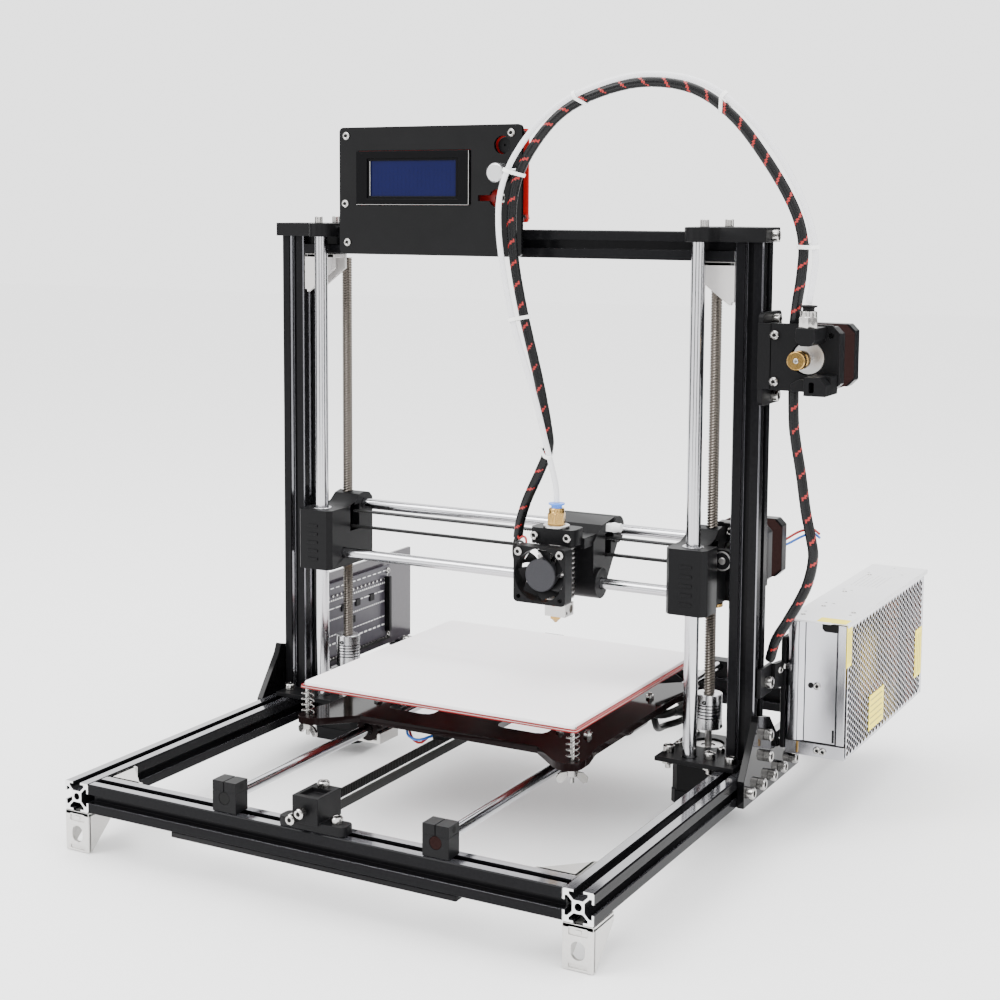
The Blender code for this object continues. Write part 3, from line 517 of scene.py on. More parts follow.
floor_shape = Shape()
floor_shape.block((-6000, -6000, -6), (6000, 6000, -0.4))
floor = floor_shape.done("floor", look("floor_white", (0.97, 0.97, 0.97), 0.6, 0.0, 40, 0.01), None)
floor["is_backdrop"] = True

# Dark studio flags, seen only in reflections: they draw the dark bands along the round rods.
FLAG_DARK = look("flag_cloth", (0.01, 0.01, 0.01), 0.9, shine=0.0)
for number, (angle, distance, width) in enumerate(FLAGS):
    bearing = math.radians(angle) + YAW
    spot = Vector((math.sin(bearing), -math.cos(bearing), 0)) * distance
    across = Vector((math.cos(bearing), math.sin(bearing), 0)) * width / 2
    cloth = Shape()
    corners = [spot - across, spot + across, spot + across, spot - across]
    heights = (0.02, 0.02, FLAG_HEIGHT, FLAG_HEIGHT)
    cloth.work.faces.new([cloth.work.verts.new((c.x, c.y, h)) for c, h in zip(corners, heights)])
    flag = cloth.done("flag_" + str(number + 1), FLAG_DARK, None)
    flag.visible_camera = False
    flag.visible_shadow = False
    flag.visible_diffuse = False
    flag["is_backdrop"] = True

# ---------------------------------------------------------------- cords

LOOM = [(25.5, 234, 197), (28, 233, 209.5), (34, 232, 226), (43, 232, 245), (50, 232, 262)]
LOOM += [(49.5, 232, 276), (42, 232, 311), (29, 232, 360)]
LOOM += [(21, 232, 402), (20, 233, 438), (29, 235, 466), (51, 237, 494), (77, 240, 509)]
LOOM += [(113, 243, 517), (148, 247, 512), (176, 250, 493), (200, 252, 463), (218, 253, 433)]
LOOM += [(225, 253, 410), (224, 254, 388), (221, 256, 371), (218.6, 258.5, 355.6)]
LOWER = [(219.6, 256.5, 312.6), (221, 254.5, 291), (223, 254, 277), (227, 254, 256)]
LOWER += [(231, 254, 231), (235, 254, 213), (236.5, 255, 200), (233, 257, 183), (226, 260, 168)]
LOWER += [(216, 264, 151), (207, 270, 137), (200.5, 277.5, 121)]
FILAMENT = [(59.5, 227, 226.3), (58.5, 226.5, 240), (52, 223, 270), (43, 221, 305), (29, 220, 347)]
FILAMENT += [(20, 219, 389), (16, 219, 420), (18, 219, 445), (29, 220, 470), (51, 221, 495)]
FILAMENT += [(81, 222, 512), (122, 223, 521), (164, 225, 514), (195, 226, 492), (219, 228, 462)]
FILAMENT += [(235, 229, 430), (241, 230, 404), (239.0, 231, 384), (237, 231, 371.2)]
LOOM_R = 3.5
TUBE_R = 2.0
LOOM_TURN = 15.0  # length of one turn of the spiral wrap
LOOM_STEP = 1.25
LOOM_SIDES = 20
GAP = 0.1  # share of a turn left open


def wrapped(distance, angle):
    """Spiral wrap: a narrow dip where one turn ends and the next starts."""
    phase = (distance / LOOM_TURN - angle / (2 * math.pi)) % 1.0
    return 0.92 if phase < GAP else 1.0


def redden(piece, count, first_side):
    """Show the red sleeve under the wrap wherever one turn stops short of the next."""
    piece.data.materials.append(RED)
    for face in piece.data.polygons:
        step, k = divmod(face.index, LOOM_SIDES)
        phase = (LOOM_STEP * (step + 0.5) / LOOM_TURN - (k + 0.5) / LOOM_SIDES) % 1.0
        seen = (k - first_side) % LOOM_SIDES < LOOM_SIDES * 0.45
        if step < count - 1 and phase < GAP and seen:
            face.material_index = 1


def halves(points):
    """The two runs of points on each side of the highest one."""
    top = max(range(len(points)), key=lambda i: points[i].z)
    return points[:top + 1], points[top:]


def lay_cord(name, points, radius, material, node, ripple=None, first_side=0):
    shape = Shape().tube(points, radius, LOOM_SIDES, ripple)
    piece = shape.done(name, material, None, degrees=60, replaces=(node,))
    if ripple:
        redden(piece, len(points), first_side)
    return piece


def blend_half(piece):
    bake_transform(piece)


runs = {}
for name, route, radius, material, ripple, step in (
    ("loom", LOOM, LOOM_R, WRAP, wrapped, LOOM_STEP),
    ("filament_tube", FILAMENT, TUBE_R, TUBE, None, 5.0),
):
    whole = smooth_path(route, step)
    carriage_run, fixed_run = halves(whole)
    runs[name] = whole
    piece = lay_cord(name + "_to_carriage", list(reversed(carriage_run)), radius, material,
        name + "_carriage_half", ripple)
    blend_half(piece)
    piece = lay_cord(name + "_to_extruder", list(reversed(fixed_run)), radius, material,
        name + "_fixed_half", ripple, 9)
    blend_half(piece)

TIES = [(30.3, 355.1), (49.3, 260.3), (25.4, 454.8), (71.8, 506.0), (169.0, 497.8), (224.8, 406.7)]
for number, (x, z) in enumerate(TIES):
    centres = []
    for name in ("loom", "filament_tube"):
        goal = Vector((x, 0, z))
        run = runs[name]
        index = min(range(1, len(run) - 1),
                    key=lambda i: (Vector((run[i].x, 0, run[i].z)) - goal).length)
        centres.append((run[index], (run[index + 1] - run[index - 1]).normalized()))
    (first, along), (second, _) = centres
    reach = second - first
    reach = reach - along * reach.dot(along)
    side = along.cross(reach.normalized())
    over = reach.normalized()
    band = Shape()
    rings = []
    for radius_out in (0.1, 1.1):
        for offset in (-1.3, 1.3):
            ring = []
            for i in range(24):
                angle = 2 * math.pi * (i + 0.5) / 24
                base, r = (first, LOOM_R) if math.cos(angle) < 0 else (first + reach, TUBE_R + 0.2)
                outward = over * math.cos(angle) + side * math.sin(angle)
                ring.append(band.work.verts.new(base + outward * (r + radius_out) + along * offset))
            rings.append(ring)
    inner_a, inner_b, outer_a, outer_b = rings
    for i in range(24):
        j = (i + 1) % 24
        for p, q in ((inner_a, inner_b), (inner_b, outer_b), (outer_b, outer_a),
                (outer_a, inner_a)):
            band.work.faces.new((p[i], p[j], q[j], q[i]))
    head = first + over * (-LOOM_R - 1.6) * 0.3 - side * (LOOM_R + 1.6)
    band.block(head - Vector((2.2, 2.2, 2.2)), head + Vector((2.2, 2.2, 2.2)))
    tie = band.done("tie_" + str(number + 1), WHITE, None, 0.25)
    carriage_run, fixed_run = halves(runs["loom"])
    if x < fixed_run[0].x:
        blend_half(tie)
    else:
        blend_half(tie)

piece = lay_cord("loom_down_the_upright", smooth_path(LOWER, LOOM_STEP), LOOM_R, WRAP, "loom_lower",
    wrapped, 9)
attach(piece, "root")

# ---------------------------------------------------------------- frame

for side in ("left", "right"):
    refine("gusset_" + side, ACRYLIC, 0.3, 1)
    refine("top_bracket_" + side, MOULDED, 0.6, 2)
    refine("motor_mount_" + side, MOULDED, 0.4, 2)
    refine("x_end_" + side, MOULDED, 0.7, 2)
    for node in ("z_rod_" + side, "y_rod_" + side):
        refine(node, GROUND, 0.5, 2, 40)
for node in ("x_rod_lower", "x_rod_upper"):
    refine(node, GROUND, 0.5, 2, 40)
refine("belt_tensioner", MOULDED, 0.6, 2)
refine("display_plate", ACRYLIC, 0.3, 1)
refine("electronics_plate", PANEL, 0.3, 1)
refine("x_carriage", MOULDED, 0.6, 2)
refine("y_carriage", SMOKED, 0.4, 1)
refine("fan_frame", FAN, 0.4, 2)
refine("controller_board", BOARD, 0.1, 1)
refine("encoder_shaft", ALUMINIUM, 0.3, 1)
refine("display_knob", KNOB, 0.3, 2)
refine("reset_button", MOULDED, 0.3, 1)
refine("build_plate", BED_TOP, 0.4, 2)

# ---------------------------------------------------------------- frame details

SLOT_SIDE = [(3.1, 10.0), (3.1, 8.5), (5.9, 8.5), (5.9, 7.0), (2.9, 4.0)]


def extrusion_profile():
    """A slotted 20 mm section with rounded corners; one slot in each side."""
    lip = [(9.2, 10.0), (10.0, 9.2)]
    run = [(-x, y) for x, y in SLOT_SIDE]
    run = run + [(x, y) for x, y in reversed(SLOT_SIDE)] + lip
    ring = []
    for quarter in range(4):
        for x, y in run:
            for _ in range(quarter):
                x, y = y, -x
            ring.append((x, y))
    return ring


def extrusion(node, axis):
    """The detailed extrusion in a CAD beam's place: black, bare metal where it is cut, and a painted
    highlight on its top faces and on the front corner faces of uprights.
    """
    low, high = span(node)
    along = "XYZ".index(axis)
    centre = middle(node)
    others = {"X": (1, 2), "Y": (0, 2), "Z": (0, 1)}[axis]
    a, b = (centre[i] for i in others)
    ring = [(x + a, y + b) for x, y in extrusion_profile()]
    piece = Shape().plate(axis, low[along], high[along], ring, [circle(a, b, 2.3, 16)]).done(
        node + "_surface", ANODISED, BODY_OF[node], 0.25, replaces=(node,), slot=SLOT_OF[node])
    piece.data.materials.append(CUT_END)
    piece.data.materials.append(ANODISED_PAINTED_HIGHLIGHT)
    for face in piece.data.polygons:
        if abs(face.normal[along]) > 0.9:
            face.material_index = 1
            continue
        # Painted highlight on the top faces and on the uprights' front corner faces.
        corner = axis == "Z" and face.normal.y < -0.3 and abs(face.normal.x) > 0.3
        if corner or face.normal.z > 0.9:
            face.material_index = 2


for node, axis in (("side_beam_left", "Y"), ("side_beam_right", "Y"), ("front_beam", "X"),
        ("rear_beam", "X"), ("upright_left", "Z"), ("upright_right", "Z"), ("top_crossbeam", "X")):
    extrusion(node, axis)

UP, DOWN, FRONT, BACK = (0, 0, 1), (0, 0, -1), (0, -1, 0), (0, 1, 0)


M3_HEAD = (2.9, 3.0, 1.5)  # radius, height and socket radius


def screws(name, body, places, radius=4.25, height=5.0, socket=2.4, material=None):
    shape = Shape()
    for seat, direction in places:
        shape.screw(seat, direction, radius, height, socket)
    # A dark disc down in each hex socket: painted shade.
    socket_shade_discs = Shape()
    for seat, direction in places:
        seat, direction = Vector(seat), Vector(direction).normalized()
        socket_shade_discs.rod(seat + direction * (height - 1.3), seat + direction * (height - 0.75),
                 socket * 0.97, 6)
    socket_shade_discs.done(name + "_socket_shade", PAINTED_SHADE_AND_BLACK_OXIDE, body)
    return shape.done(name, material or NICKEL, body)


GUSSET_SCREWS = [(235, 38), (257, 38), (279, 38), (300.5, 38), (325, 38), (269, 54.5), (269, 69.5)]
gusset_out = span("gusset_right")[1].x
mount_top = span("motor_mount_right")[1].z
for side, sign in (("left", -1), ("right", 1)):
    out = (sign, 0, 0)
    places = [((sign * gusset_out, y, z), out) for y, z in GUSSET_SCREWS]
    screws("gusset_screws_" + side, "root", places, 4.1, 5.2)
    top = [((sign * x, y, mount_top), UP) for x, y in ((136.5, 252.5), (167.5, 251), (184, 248))]
    screws("motor_mount_screws_" + side, "root", top, 4.1, 5.0)
    Shape().nut((sign * 137, 250, 48), DOWN, 4.4, 4.0, 2.0, 3.5).nut((sign * 167, 251, 48), DOWN,
        4.4, 4.0, 2.0, 3.5).done("motor_mount_nuts_" + side, NICKEL, "root")
    screws("top_bracket_side_screw_" + side, "root", [((sign * 198.7, 269, 414), out)], 3.9, 4.6)
    caps = Shape()
    for x, y in ((156.5, 251.5), (162.0, 284.0)):
        caps.rod((sign * x, y, 419.5), (sign * x, y, 424.6), 3.1, 20, 0.4)
    caps.done("top_bracket_studs_" + side, NICKEL, "root")

    web = Shape()
    wide = [(148.0, 396.0), (173.6, 396.0), (173.6, 366.4), (171.6, 366.4), (148.0, 384.6)]
    web.prism("Y", 260.0, 262.6, [(sign * x, z) for x, z in wide])
    web.prism("Y", 275.4, 278.0, [(sign * x, z) for x, z in wide])
    web.block((sign * 148.6, 260, 392.8), (sign * 175.6, 278, 396.0))
    web.block((sign * 172.6, 260, 368.4), (sign * 175.6, 278, 396.0))
    web.done("upper_corner_bracket_" + side, BRACKET, "root", 0.6)
    screws("upper_corner_screws_" + side, "root",
           [((sign * 160, 269, 392.8), DOWN), ((sign * 172.6, 269, 382), (-sign, 0, 0))], 4.0, 4.0)

    for end, y, way in (("front", 20.3, 1), ("rear", 459.7, -1)):
        corner = Shape()
        flat = [(175.7, y), (148.0, y), (175.7, y + 27.6 * way)]
        corner.prism("Z", 44.6, 47.4, [(sign * a, b) for a, b in flat])
        corner.prism("Z", 29.4, 32.0, [(sign * a, b) for a, b in flat])
        corner.block((sign * 148.0, y, 29.4), (sign * 175.7, y + 3.0 * way, 47.4))
        corner.block((sign * 172.7, y, 29.4), (sign * 175.7, y + 27.6 * way, 47.4))
        corner.done("lower_corner_bracket_" + end + "_" + side, CASTING, "root", 0.6)

    for end, y, way in (("front", 0.0, 1), ("rear", 480.0, -1)):
        name = "foot_" + end + "_" + side
        x = middle(name).x
        face = Shape()
        z_top = span(name)[1].z
        face.plate("Y", *sorted((y, y + 2.6 * way)), rounded(x - 9.9, x + 9.9, 0.0, z_top, 0.8, 2),
                   [rounded(x - 4.4, x + 4.4, 6.4, 17.6, 4.3, 5),
                    rounded(x - 6.0, x + 6.0, 20.8, 25.6, 0.8, 2),
                    rounded(x - 6.0, x + 6.0, 1.4, 4.0, 0.6, 2)])
        face.block((x - 7.5, y + 0.9 * way, 1.2), (x + 7.5, y + 2.6 * way, 4.4))
        face.block((x - 7.5, y + 0.9 * way, 20.4), (x + 7.5, y + 2.6 * way, 26))
        face.block((x - 2.0, y + 0.3 * way, 22.0), (x + 2.0, y + 1.2 * way, 24.2))
        face.block((x - 9.9, y, z_top - 2.8), (x + 9.9, y + 28.0 * way, z_top))
        rib = [(y + 1.0 * way, 0.2), (y + 3.5 * way, 0.2), (y + 28.0 * way, z_top - 5.5),
               (y + 28.0 * way, z_top - 1.0), (y + 1.0 * way, z_top - 1.0)]
        for edge in (-9.9, 7.1):
            face.prism("X", x + edge, x + edge + 2.8, rib)
        face.done(name + "_casting", CASTING, "root", 0.35, replaces=(name,), slot=SLOT_OF[name])

Shape().plate("Z", 24.2, 27.8, rounded(-107, 106, 1.0, 19.6, 0.6, 2)).done("under_bar", MOULDED,
    "root", 0.4)
screws("under_bar_screws", "root", [((x, 10, 24.2), DOWN) for x in (-75, -24, 35)], 2.4, 1.6, 1.0)

# ---------------------------------------------------------------- motors

MOTOR_HALF = 21.1
STACK_HALF = 20.8
BOLT_AT = 15.5  # a motor's bolts, each way from its axis
CAP_DEPTH = 9.0
SHAFT_R = 2.5


def motor(node, axis, centre, low, high, tip, stack_look=None):
    """A stepper: two cast caps with a laminated stack between them, a pilot boss and a shaft."""
    body = BODY_OF[node]
    face, back = (high, low) if tip > high else (low, high)
    way = 1 if tip > high else -1
    ends = Shape()
    for start, stop in ((face, face - CAP_DEPTH * way), (back, back + (CAP_DEPTH + 1) * way)):
        ends.prism(axis, *sorted((start, stop)), cut_square(*centre, MOTOR_HALF, 4.6))
    turn = TURNS[axis]
    for a in (-1, 1):
        for b in (-1, 1):
            corner = (centre[0] + a * BOLT_AT, centre[1] + b * BOLT_AT)
            ends.rod(turn(*corner, back), turn(*corner, back + way), 2.8, 12)
    ends.done(node + "_caps", CAP, body, 0.5, replaces=(node,), slot=SLOT_OF[node])
    stack = Shape()
    stack.prism(axis, *sorted((face - CAP_DEPTH * way, back + (CAP_DEPTH + 1) * way)),
                cut_square(*centre, STACK_HALF, 5.6))
    stack.done(node + "_stack", stack_look or LAMINATIONS_AND_SHADE, body, 0.2, slot=SLOT_OF[node])
    metal = Shape()
    metal.lathe(turn(*centre, face), Vector(turn(0, 0, way)),
        [(11.0, -0.5), (11.0, 1.7), (10.6, 2.0), (5.2, 2.0), (5.2, 1.2), (SHAFT_R, 1.2),
        (SHAFT_R, abs(tip - face) - 0.4), (SHAFT_R - 0.4, abs(tip - face)), (0, abs(tip - face))],
        32)
    metal.done(node + "_shaft", ALUMINIUM, body)


X_PULLEY = (169.0, 189.0)
Y_RODS = {"left": -64.0, "right": 91.5}
Y_ROD_Z = 57.5
ROD_BLOCK_TOP = 61.9
Z_SCREW = (153.1, 285.7)
EXTRUDER = (231.0, 334.0)
Y_PULLEY = (1.0, 436.0)
motor("z_motor_left", "Z", (-Z_SCREW[0], Z_SCREW[1]), 10.0, 48.0, 62.3, FAN)
motor("z_motor_right", "Z", Z_SCREW, 10.0, 48.0, 62.3, FAN)
motor("x_motor", "Y", X_PULLEY, 298.2, 338.0, 263.0)
motor("extruder_motor", "Y", EXTRUDER, 253.3, 295.0, 239.0)
motor("y_motor", "Z", Y_PULLEY, 8.0, 48.0, 66.0)
y_mount = Shape()
y_mount.plate("Z", 48.3, 51.5, rounded(-24, 26, 413, 479, 4.0), [circle(*Y_PULLEY, 11.3, 24)])
y_mount.done("y_motor_mount", MOULDED, "root", 0.4)
Y_MOUNT_SCREWS = [(-14.5, 420.5), (16.5, 420.5), (-14.5, 451.5), (16.5, 451.5)]
Y_MOUNT_SCREWS += [(-14, 470), (16, 470)]
places = [((x, y, 51.5), UP) for x, y in Y_MOUNT_SCREWS]
screws("y_motor_mount_screws", "root", places, *M3_HEAD)
for side, sign in (("left", -1), ("right", 1)):
    corners = [(sign * Z_SCREW[0] + a, Z_SCREW[1] + b) for a in (-BOLT_AT, BOLT_AT)
               for b in (-BOLT_AT, BOLT_AT)]
    places = [((x, y, mount_top), UP) for x, y in corners if sign * x < 172 and y > 266]
    screws("z_motor_screws_" + side, "root", places, *M3_HEAD)

# ---------------------------------------------------------------- lead screws and couplers

THREAD_PITCH = 2.0
THREAD_STARTS = 4
THREAD_R = 4.0
COUPLER_TOP = 25.0  # above the lead screw's lower end
RING_STEP = 0.5


def threaded(distance, angle):
    """Four-start trapezoid thread: 2 mm from crest to crest, 8 mm in a turn."""
    phase = (distance / THREAD_PITCH - THREAD_STARTS * angle / (2 * math.pi)) % 1.0
    return 1.0 - 0.2 * min(1.0, max(0.0, 2.4 * abs(phase - 0.5) - 0.3) * 1.6)


for side, sign in (("left", -1), ("right", 1)):
    node = "lead_screw_" + side
    low, high = span(node)
    body = node.replace("lead_", "")
    x, y = sign * Z_SCREW[0], Z_SCREW[1]
    bottom = low.z
    thread = Shape()
    steps = int((high.z - bottom - COUPLER_TOP) / RING_STEP)
    points = [(x, y, bottom + COUPLER_TOP + RING_STEP * i) for i in range(steps + 1)]
    thread.tube(points, THREAD_R, 24, threaded)
    thread.done(node + "_thread", THREAD, body, degrees=60, replaces=(node,),
                slot=SLOT_OF[node])
    profile = [(4.2, 0), (9.0, 0), (9.5, 0.5)]
    for groove in range(5):
        z = 8.0 + 2.3 * groove
        profile += [(9.5, z), (8.2, z + 0.05), (8.2, z + 0.7), (9.5, z + 0.75)]
    profile += [(9.5, 24.9), (9.0, 25.4), (4.2, 25.4)]
    coupler = Shape().lathe((x, y, bottom), UP, profile, 40)
    coupler.done("coupler_" + side, COUPLER, body)
    # A dark ring at the bottom of the coupler's grooves: painted shade.
    inside = Shape().lathe((x, y, bottom + 7.9), UP, [(8.0, 0), (8.5, 0), (8.5, 10.4), (8.0, 10.4)],
        32)
    inside.done("coupler_groove_shade_" + side, PAINTED_SHADE_AND_BLACK_OXIDE, body)
    grub = [((x, y - 9.2, bottom + 20.0), FRONT), ((x + sign * 9.2, y, bottom + 2.2), (sign, 0, 0))]
    screws("coupler_screws_" + side, body, grub, 1.7, 0.9, 0.9, PAINTED_SHADE_AND_BLACK_OXIDE)

# ---------------------------------------------------------------- gantry details

for side, sign in (("left", -1), ("right", 1)):
    x, y = sign * Z_SCREW[0], Z_SCREW[1]
    nut = Shape().lathe((x, y, 153.9), DOWN, [(4.6, 0), (8.6, 0), (8.6, 2.4), (5.1, 2.4),
        (5.1, 3.4), (4.6, 3.4)], hollow=True)
    nut.done("lead_nut_" + side, BRASS, "z_gantry", 0.2)
    bearing = Shape()
    zx, zy = sign * 153.2, 249.6
    for z, way in ((200.0, UP), (154.0, DOWN)):
        bearing.lathe((zx, zy, z), way, [(5.35, -2), (5.35, 0.6), (7.1, 0.6), (7.5, 0.3),
            (7.5, -2)], 32, True)
    bearing.done("z_bearings_" + side, GROUND, "z_gantry")
    ribs = Shape()
    for z in (162.0, 168.5, 175.0, 181.5, 188.0):
        ribs.plate("Y", 235.3, 236.2, rounded(zx - 4.6, zx + 4.6, z - 1.1, z + 1.1, 0.5, 2))
    ribs.done("x_end_ribs_" + side, MOULDED, "z_gantry", 0.25)

TOOTH = 2.0


def belt(name, body, start, end, width, thickness, out):
    """A flat toothed strip from start to end; out points away from its toothed side."""
    start, end, out = Vector(start), Vector(end), Vector(out)
    along = (end - start).normalized()
    across = along.cross(out)
    length = (end - start).length
    count = int(length / TOOTH)
    ring = [(0.0, thickness), (length, thickness), (length, 0.6)]
    for i in reversed(range(count)):
        d = TOOTH * i + 0.4
        ring += [(d + 1.3, 0.6), (d + 1.05, 0.0), (d + 0.45, 0.0), (d + 0.2, 0.6)]
    ring += [(0.0, 0.6)]
    line = [start + along * d + out * h for d, h in ring]
    half = across * width / 2
    return Shape().slab([p - half for p in line], [p + half for p in line]).done(
        name, BELT, body, degrees=20)


BELT_WIDTH = 6.0
BELT_THICK = 1.5
belt("x_belt_upper", "z_gantry", (-150, 272, 195.0), (169, 272, 194.3), BELT_WIDTH, BELT_THICK,
     (0, 0, 1))
belt("x_belt_lower", "z_gantry", (-150, 272, 184.3), (169, 272, 183.8), BELT_WIDTH, BELT_THICK,
     (0, 0, -1))
Shape().lathe((X_PULLEY[0], 264.0, X_PULLEY[1]), BACK,
    [(2.6, 0), (6.8, 0), (6.8, 1.2), (5.2, 1.4), (5.2, 12), (6.8, 12.2), (6.8, 15.4), (2.6, 15.4)],
    28, True).done("x_pulley", FAN, "z_gantry")
Shape().lathe((X_PULLEY[0], 269.0, X_PULLEY[1]), BACK,
    [(5.3, 0), (6.7, 0), (6.7, 6.0), (5.3, 6.0)], 32, True).done("x_belt_loop", BELT, "z_gantry")
Shape().plate("Y", 263.2, 264.0, circle(*X_PULLEY, 6.8, 32),
    [circle(*X_PULLEY, 5.9, 32)]).done("x_pulley_rim", ALUMINIUM, "z_gantry")
Shape().lathe((-152.0, 266.5, 190.5), BACK, [(1.6, 0), (5.0, 0), (5.0, 1.0), (4.0, 1.0),
    (4.0, 10), (5.0, 10), (5.0, 11), (1.6, 11)], 24).done("x_idler", GROUND, "z_gantry")
screws("x_idler_screw", "z_gantry",
       [((-139.5, 262.0, 190.5), (1, 0, 0)), ((-139.5, 262.0, 183.5), (1, 0, 0))],
       1.9, 1.6, 0.9)
X_MOTOR_SCREWS = [(BOLT_AT, BOLT_AT), (BOLT_AT, -BOLT_AT), (-5, BOLT_AT)]
places = [((X_PULLEY[0] + a, 294.2, X_PULLEY[1] + b), FRONT) for a, b in X_MOTOR_SCREWS]
screws("x_motor_screws", "z_gantry", places, *M3_HEAD)

# hot end: heatsink with fins, throat, heater block, brass fitting and nozzle, blue collet
NOZZLE = (59.5, 227.0)
profile = [(2.0, 0), (5.4, 0)]
for fin in range(11):
    z = 0.6 + 3.5 * fin
    profile += [(5.6, z), (13.2, z + 0.05), (13.2, z + 1.1), (5.6, z + 1.15)]
profile += [(5.6, 39.0), (8.0, 39.2), (8.0, 51.6), (2.0, 51.6)]
heatsink = Shape().lathe((*NOZZLE, 158.4), UP, profile, 36)
heatsink.lathe((*NOZZLE, 154.9), UP, [(1.0, 0), (2.3, 0), (2.3, 3.6), (1.0, 3.6)], 20)
heatsink.done("heatsink", ALUMINIUM, "x_slide", replaces=("hotend",), slot=SLOT_OF["hotend"])
heater = Shape()
heater.plate("X", 54.2, 70.2, [(220, 145.8), (234, 145.8), (234, 155), (220, 155)],
    [circle(230.0, 150.4, 2.9, 20), circle(223.2, 148.6, 1.2, 14)])
heater.done("heater_block", ALUMINIUM, "x_slide", 0.25)
Shape().rod((55.0, 230.0, 150.4), (69.3, 230.0, 150.4), 2.8, 20, 0.3).done("heater_cartridge",
    THREAD, "x_slide")
fitting = Shape()
fitting.lathe((*NOZZLE, 209.9), UP, [(2.2, 0.7), (6.6, 0.8), (6.6, 0.8, "hex"), (6.7, 8.4, "hex"),
    (5.6, 9.2), (5.6, 11.6), (5.0, 12.4), (2.2, 12.4)], 24)
fitting.done("hotend_fitting", BRASS, "x_slide", 0.15)
Shape().lathe((*NOZZLE, 208.9), UP, [(2.2, 0), (9.4, 0), (9.4, 1.2), (8.8, 1.6), (2.2, 1.7)],
    32).done("hotend_washer", ALUMINIUM, "x_slide")
Shape().lathe((*NOZZLE, 222.2), UP, [(2.2, 0), (3.9, 0), (3.9, 1.8), (5.8, 2.6),
    (5.8, 3.5), (2.2, 3.9)], 28).done("hotend_collet", BLUE, "x_slide")
Shape().lathe((*NOZZLE, 145.7), DOWN, [(0.5, 0), (3.9, 0.1, "hex"), (3.9, 2.8, "hex"),
    (3.0, 3.0), (0.9, 5.4), (0.4, 5.5)], 24).done("nozzle", BRASS, "x_slide")
loops = Shape()
loops.tube(smooth_path([(52, 216, 170), (48.5, 214, 163), (53, 213.5, 159.5), (58, 215, 161),
    (60, 219, 156)], 1.5), 0.9, 8)
loops.tube(smooth_path([(50, 217, 171), (46.5, 214.5, 164), (51, 213.2, 157.6), (58, 214, 158.8),
    (62, 219, 154)], 1.5), 0.9, 8)
loops.done("heater_wires", COPPER, "x_slide", degrees=60)
knot = [(1.0, 0), (3.4, 0.4), (3.8, 3.0), (3.0, 6.5), (3.6, 8.0), (1.0, 8.6)]
loose_tie = Shape().lathe((81.5, 271.0, 203.2), (1, 0, 0.05), knot, 10)
loose_tie.block((78.0, 268.0, 200.4), (83.5, 274.0, 206.0))
loose_tie.done("carriage_tie", WHITE, "x_slide", 0.8)

# fan rotor: seven wide swept blades round a plain hub
FAN_AXIS = (59.5, 178.5)
BLADES = 7
BLADE_STEPS = 6
rotor = Shape()
rotor.lathe((FAN_AXIS[0], 201.2, FAN_AXIS[1]), BACK,
            [(0, 0), (11.0, 0), (11.6, 0.6), (11.6, 7.5), (0, 7.5)], 40)
rotor.done("fan_hub", HUB, "fan", replaces=("fan_rotor",), slot=SLOT_OF["fan_rotor"])
blades = Shape()
for blade in range(BLADES):
    turn = 2 * math.pi * blade / BLADES
    grid = []
    for step in range(BLADE_STEPS):
        r = 11.4 + 1.3 * step
        lead = turn + 0.06 * step
        row = []
        for a, d in ((0.0, 0.0), (0.72, 5.4), (0.72, 6.2), (0.0, 0.8)):
            across, up = r * math.cos(lead + a), r * math.sin(lead + a)
            row.append(blades.work.verts.new((FAN_AXIS[0] + across, 202.4 + d, FAN_AXIS[1] + up)))
        grid.append(row)
    for first, second in zip(grid, grid[1:]):
        for k in range(4):
            blades.work.faces.new((first[k], first[(k + 1) % 4], second[(k + 1) % 4], second[k]))
    blades.work.faces.new(list(reversed(grid[0])))
    blades.work.faces.new(grid[-1])
blades.done("fan_blades", FAN, "fan")

# screws on the hot-end clamp and the fan
screws("clamp_screws", "x_slide", [((NOZZLE[0] + a, 218.6, 203.0), FRONT) for a in (-12.6, 12.6)],
       2.9, 2.6, 1.5)
screws("fan_screws", "x_slide", [((FAN_AXIS[0] + a, 200.0, 194.5), FRONT) for a in (-16, 16)], 3.0,
       2.2, 1.5)
screws("fan_screw_rear", "x_slide", [((FAN_AXIS[0] + 9.5, 211.4, 165.5), FRONT)], 3.0, 2.0, 1.5)

# ---------------------------------------------------------------- extruder

bracket = Shape()
bracket.plate("Y", 249.6, 253.0, [(205, 311.6), (247, 311.6), (252.4, 317), (252.4, 351),
    (247, 356.4), (205, 356.4)], [circle(*EXTRUDER, 11.6, 32),
    circle(EXTRUDER[0] + BOLT_AT, EXTRUDER[1] + BOLT_AT, 1.9, 12),
    circle(EXTRUDER[0] + BOLT_AT, EXTRUDER[1] - BOLT_AT, 1.9, 12)])
bracket.plate("X", 196.4, 199.8, rounded(250.6, 288, 300.2, 363, 4.0), [circle(279, 331, 3, 14)])
bracket.block((196.4, 249.6, 312), (206, 252.8, 356))
bracket.prism("Z", 312.5, 315.0, [(199, 252), (215, 252.4), (199, 280)])
bracket.prism("Z", 353.0, 355.5, [(199, 252), (215, 252.4), (199, 280)])
bracket.done("extruder_bracket_body", MOULDED, "root", 0.5, replaces=("extruder_bracket",),
    slot="black_moulding")
guide = Shape()
guide.plate("Y", 224.0, 250.5, [(230.6, 355.5), (230.6, 347.5), (234, 343.8), (240.4, 343.8),
    (243.6, 347.5), (243.6, 355.5)])
guide.done("extruder_guide", MOULDED, "root", 0.7)
idler_arm = Shape()
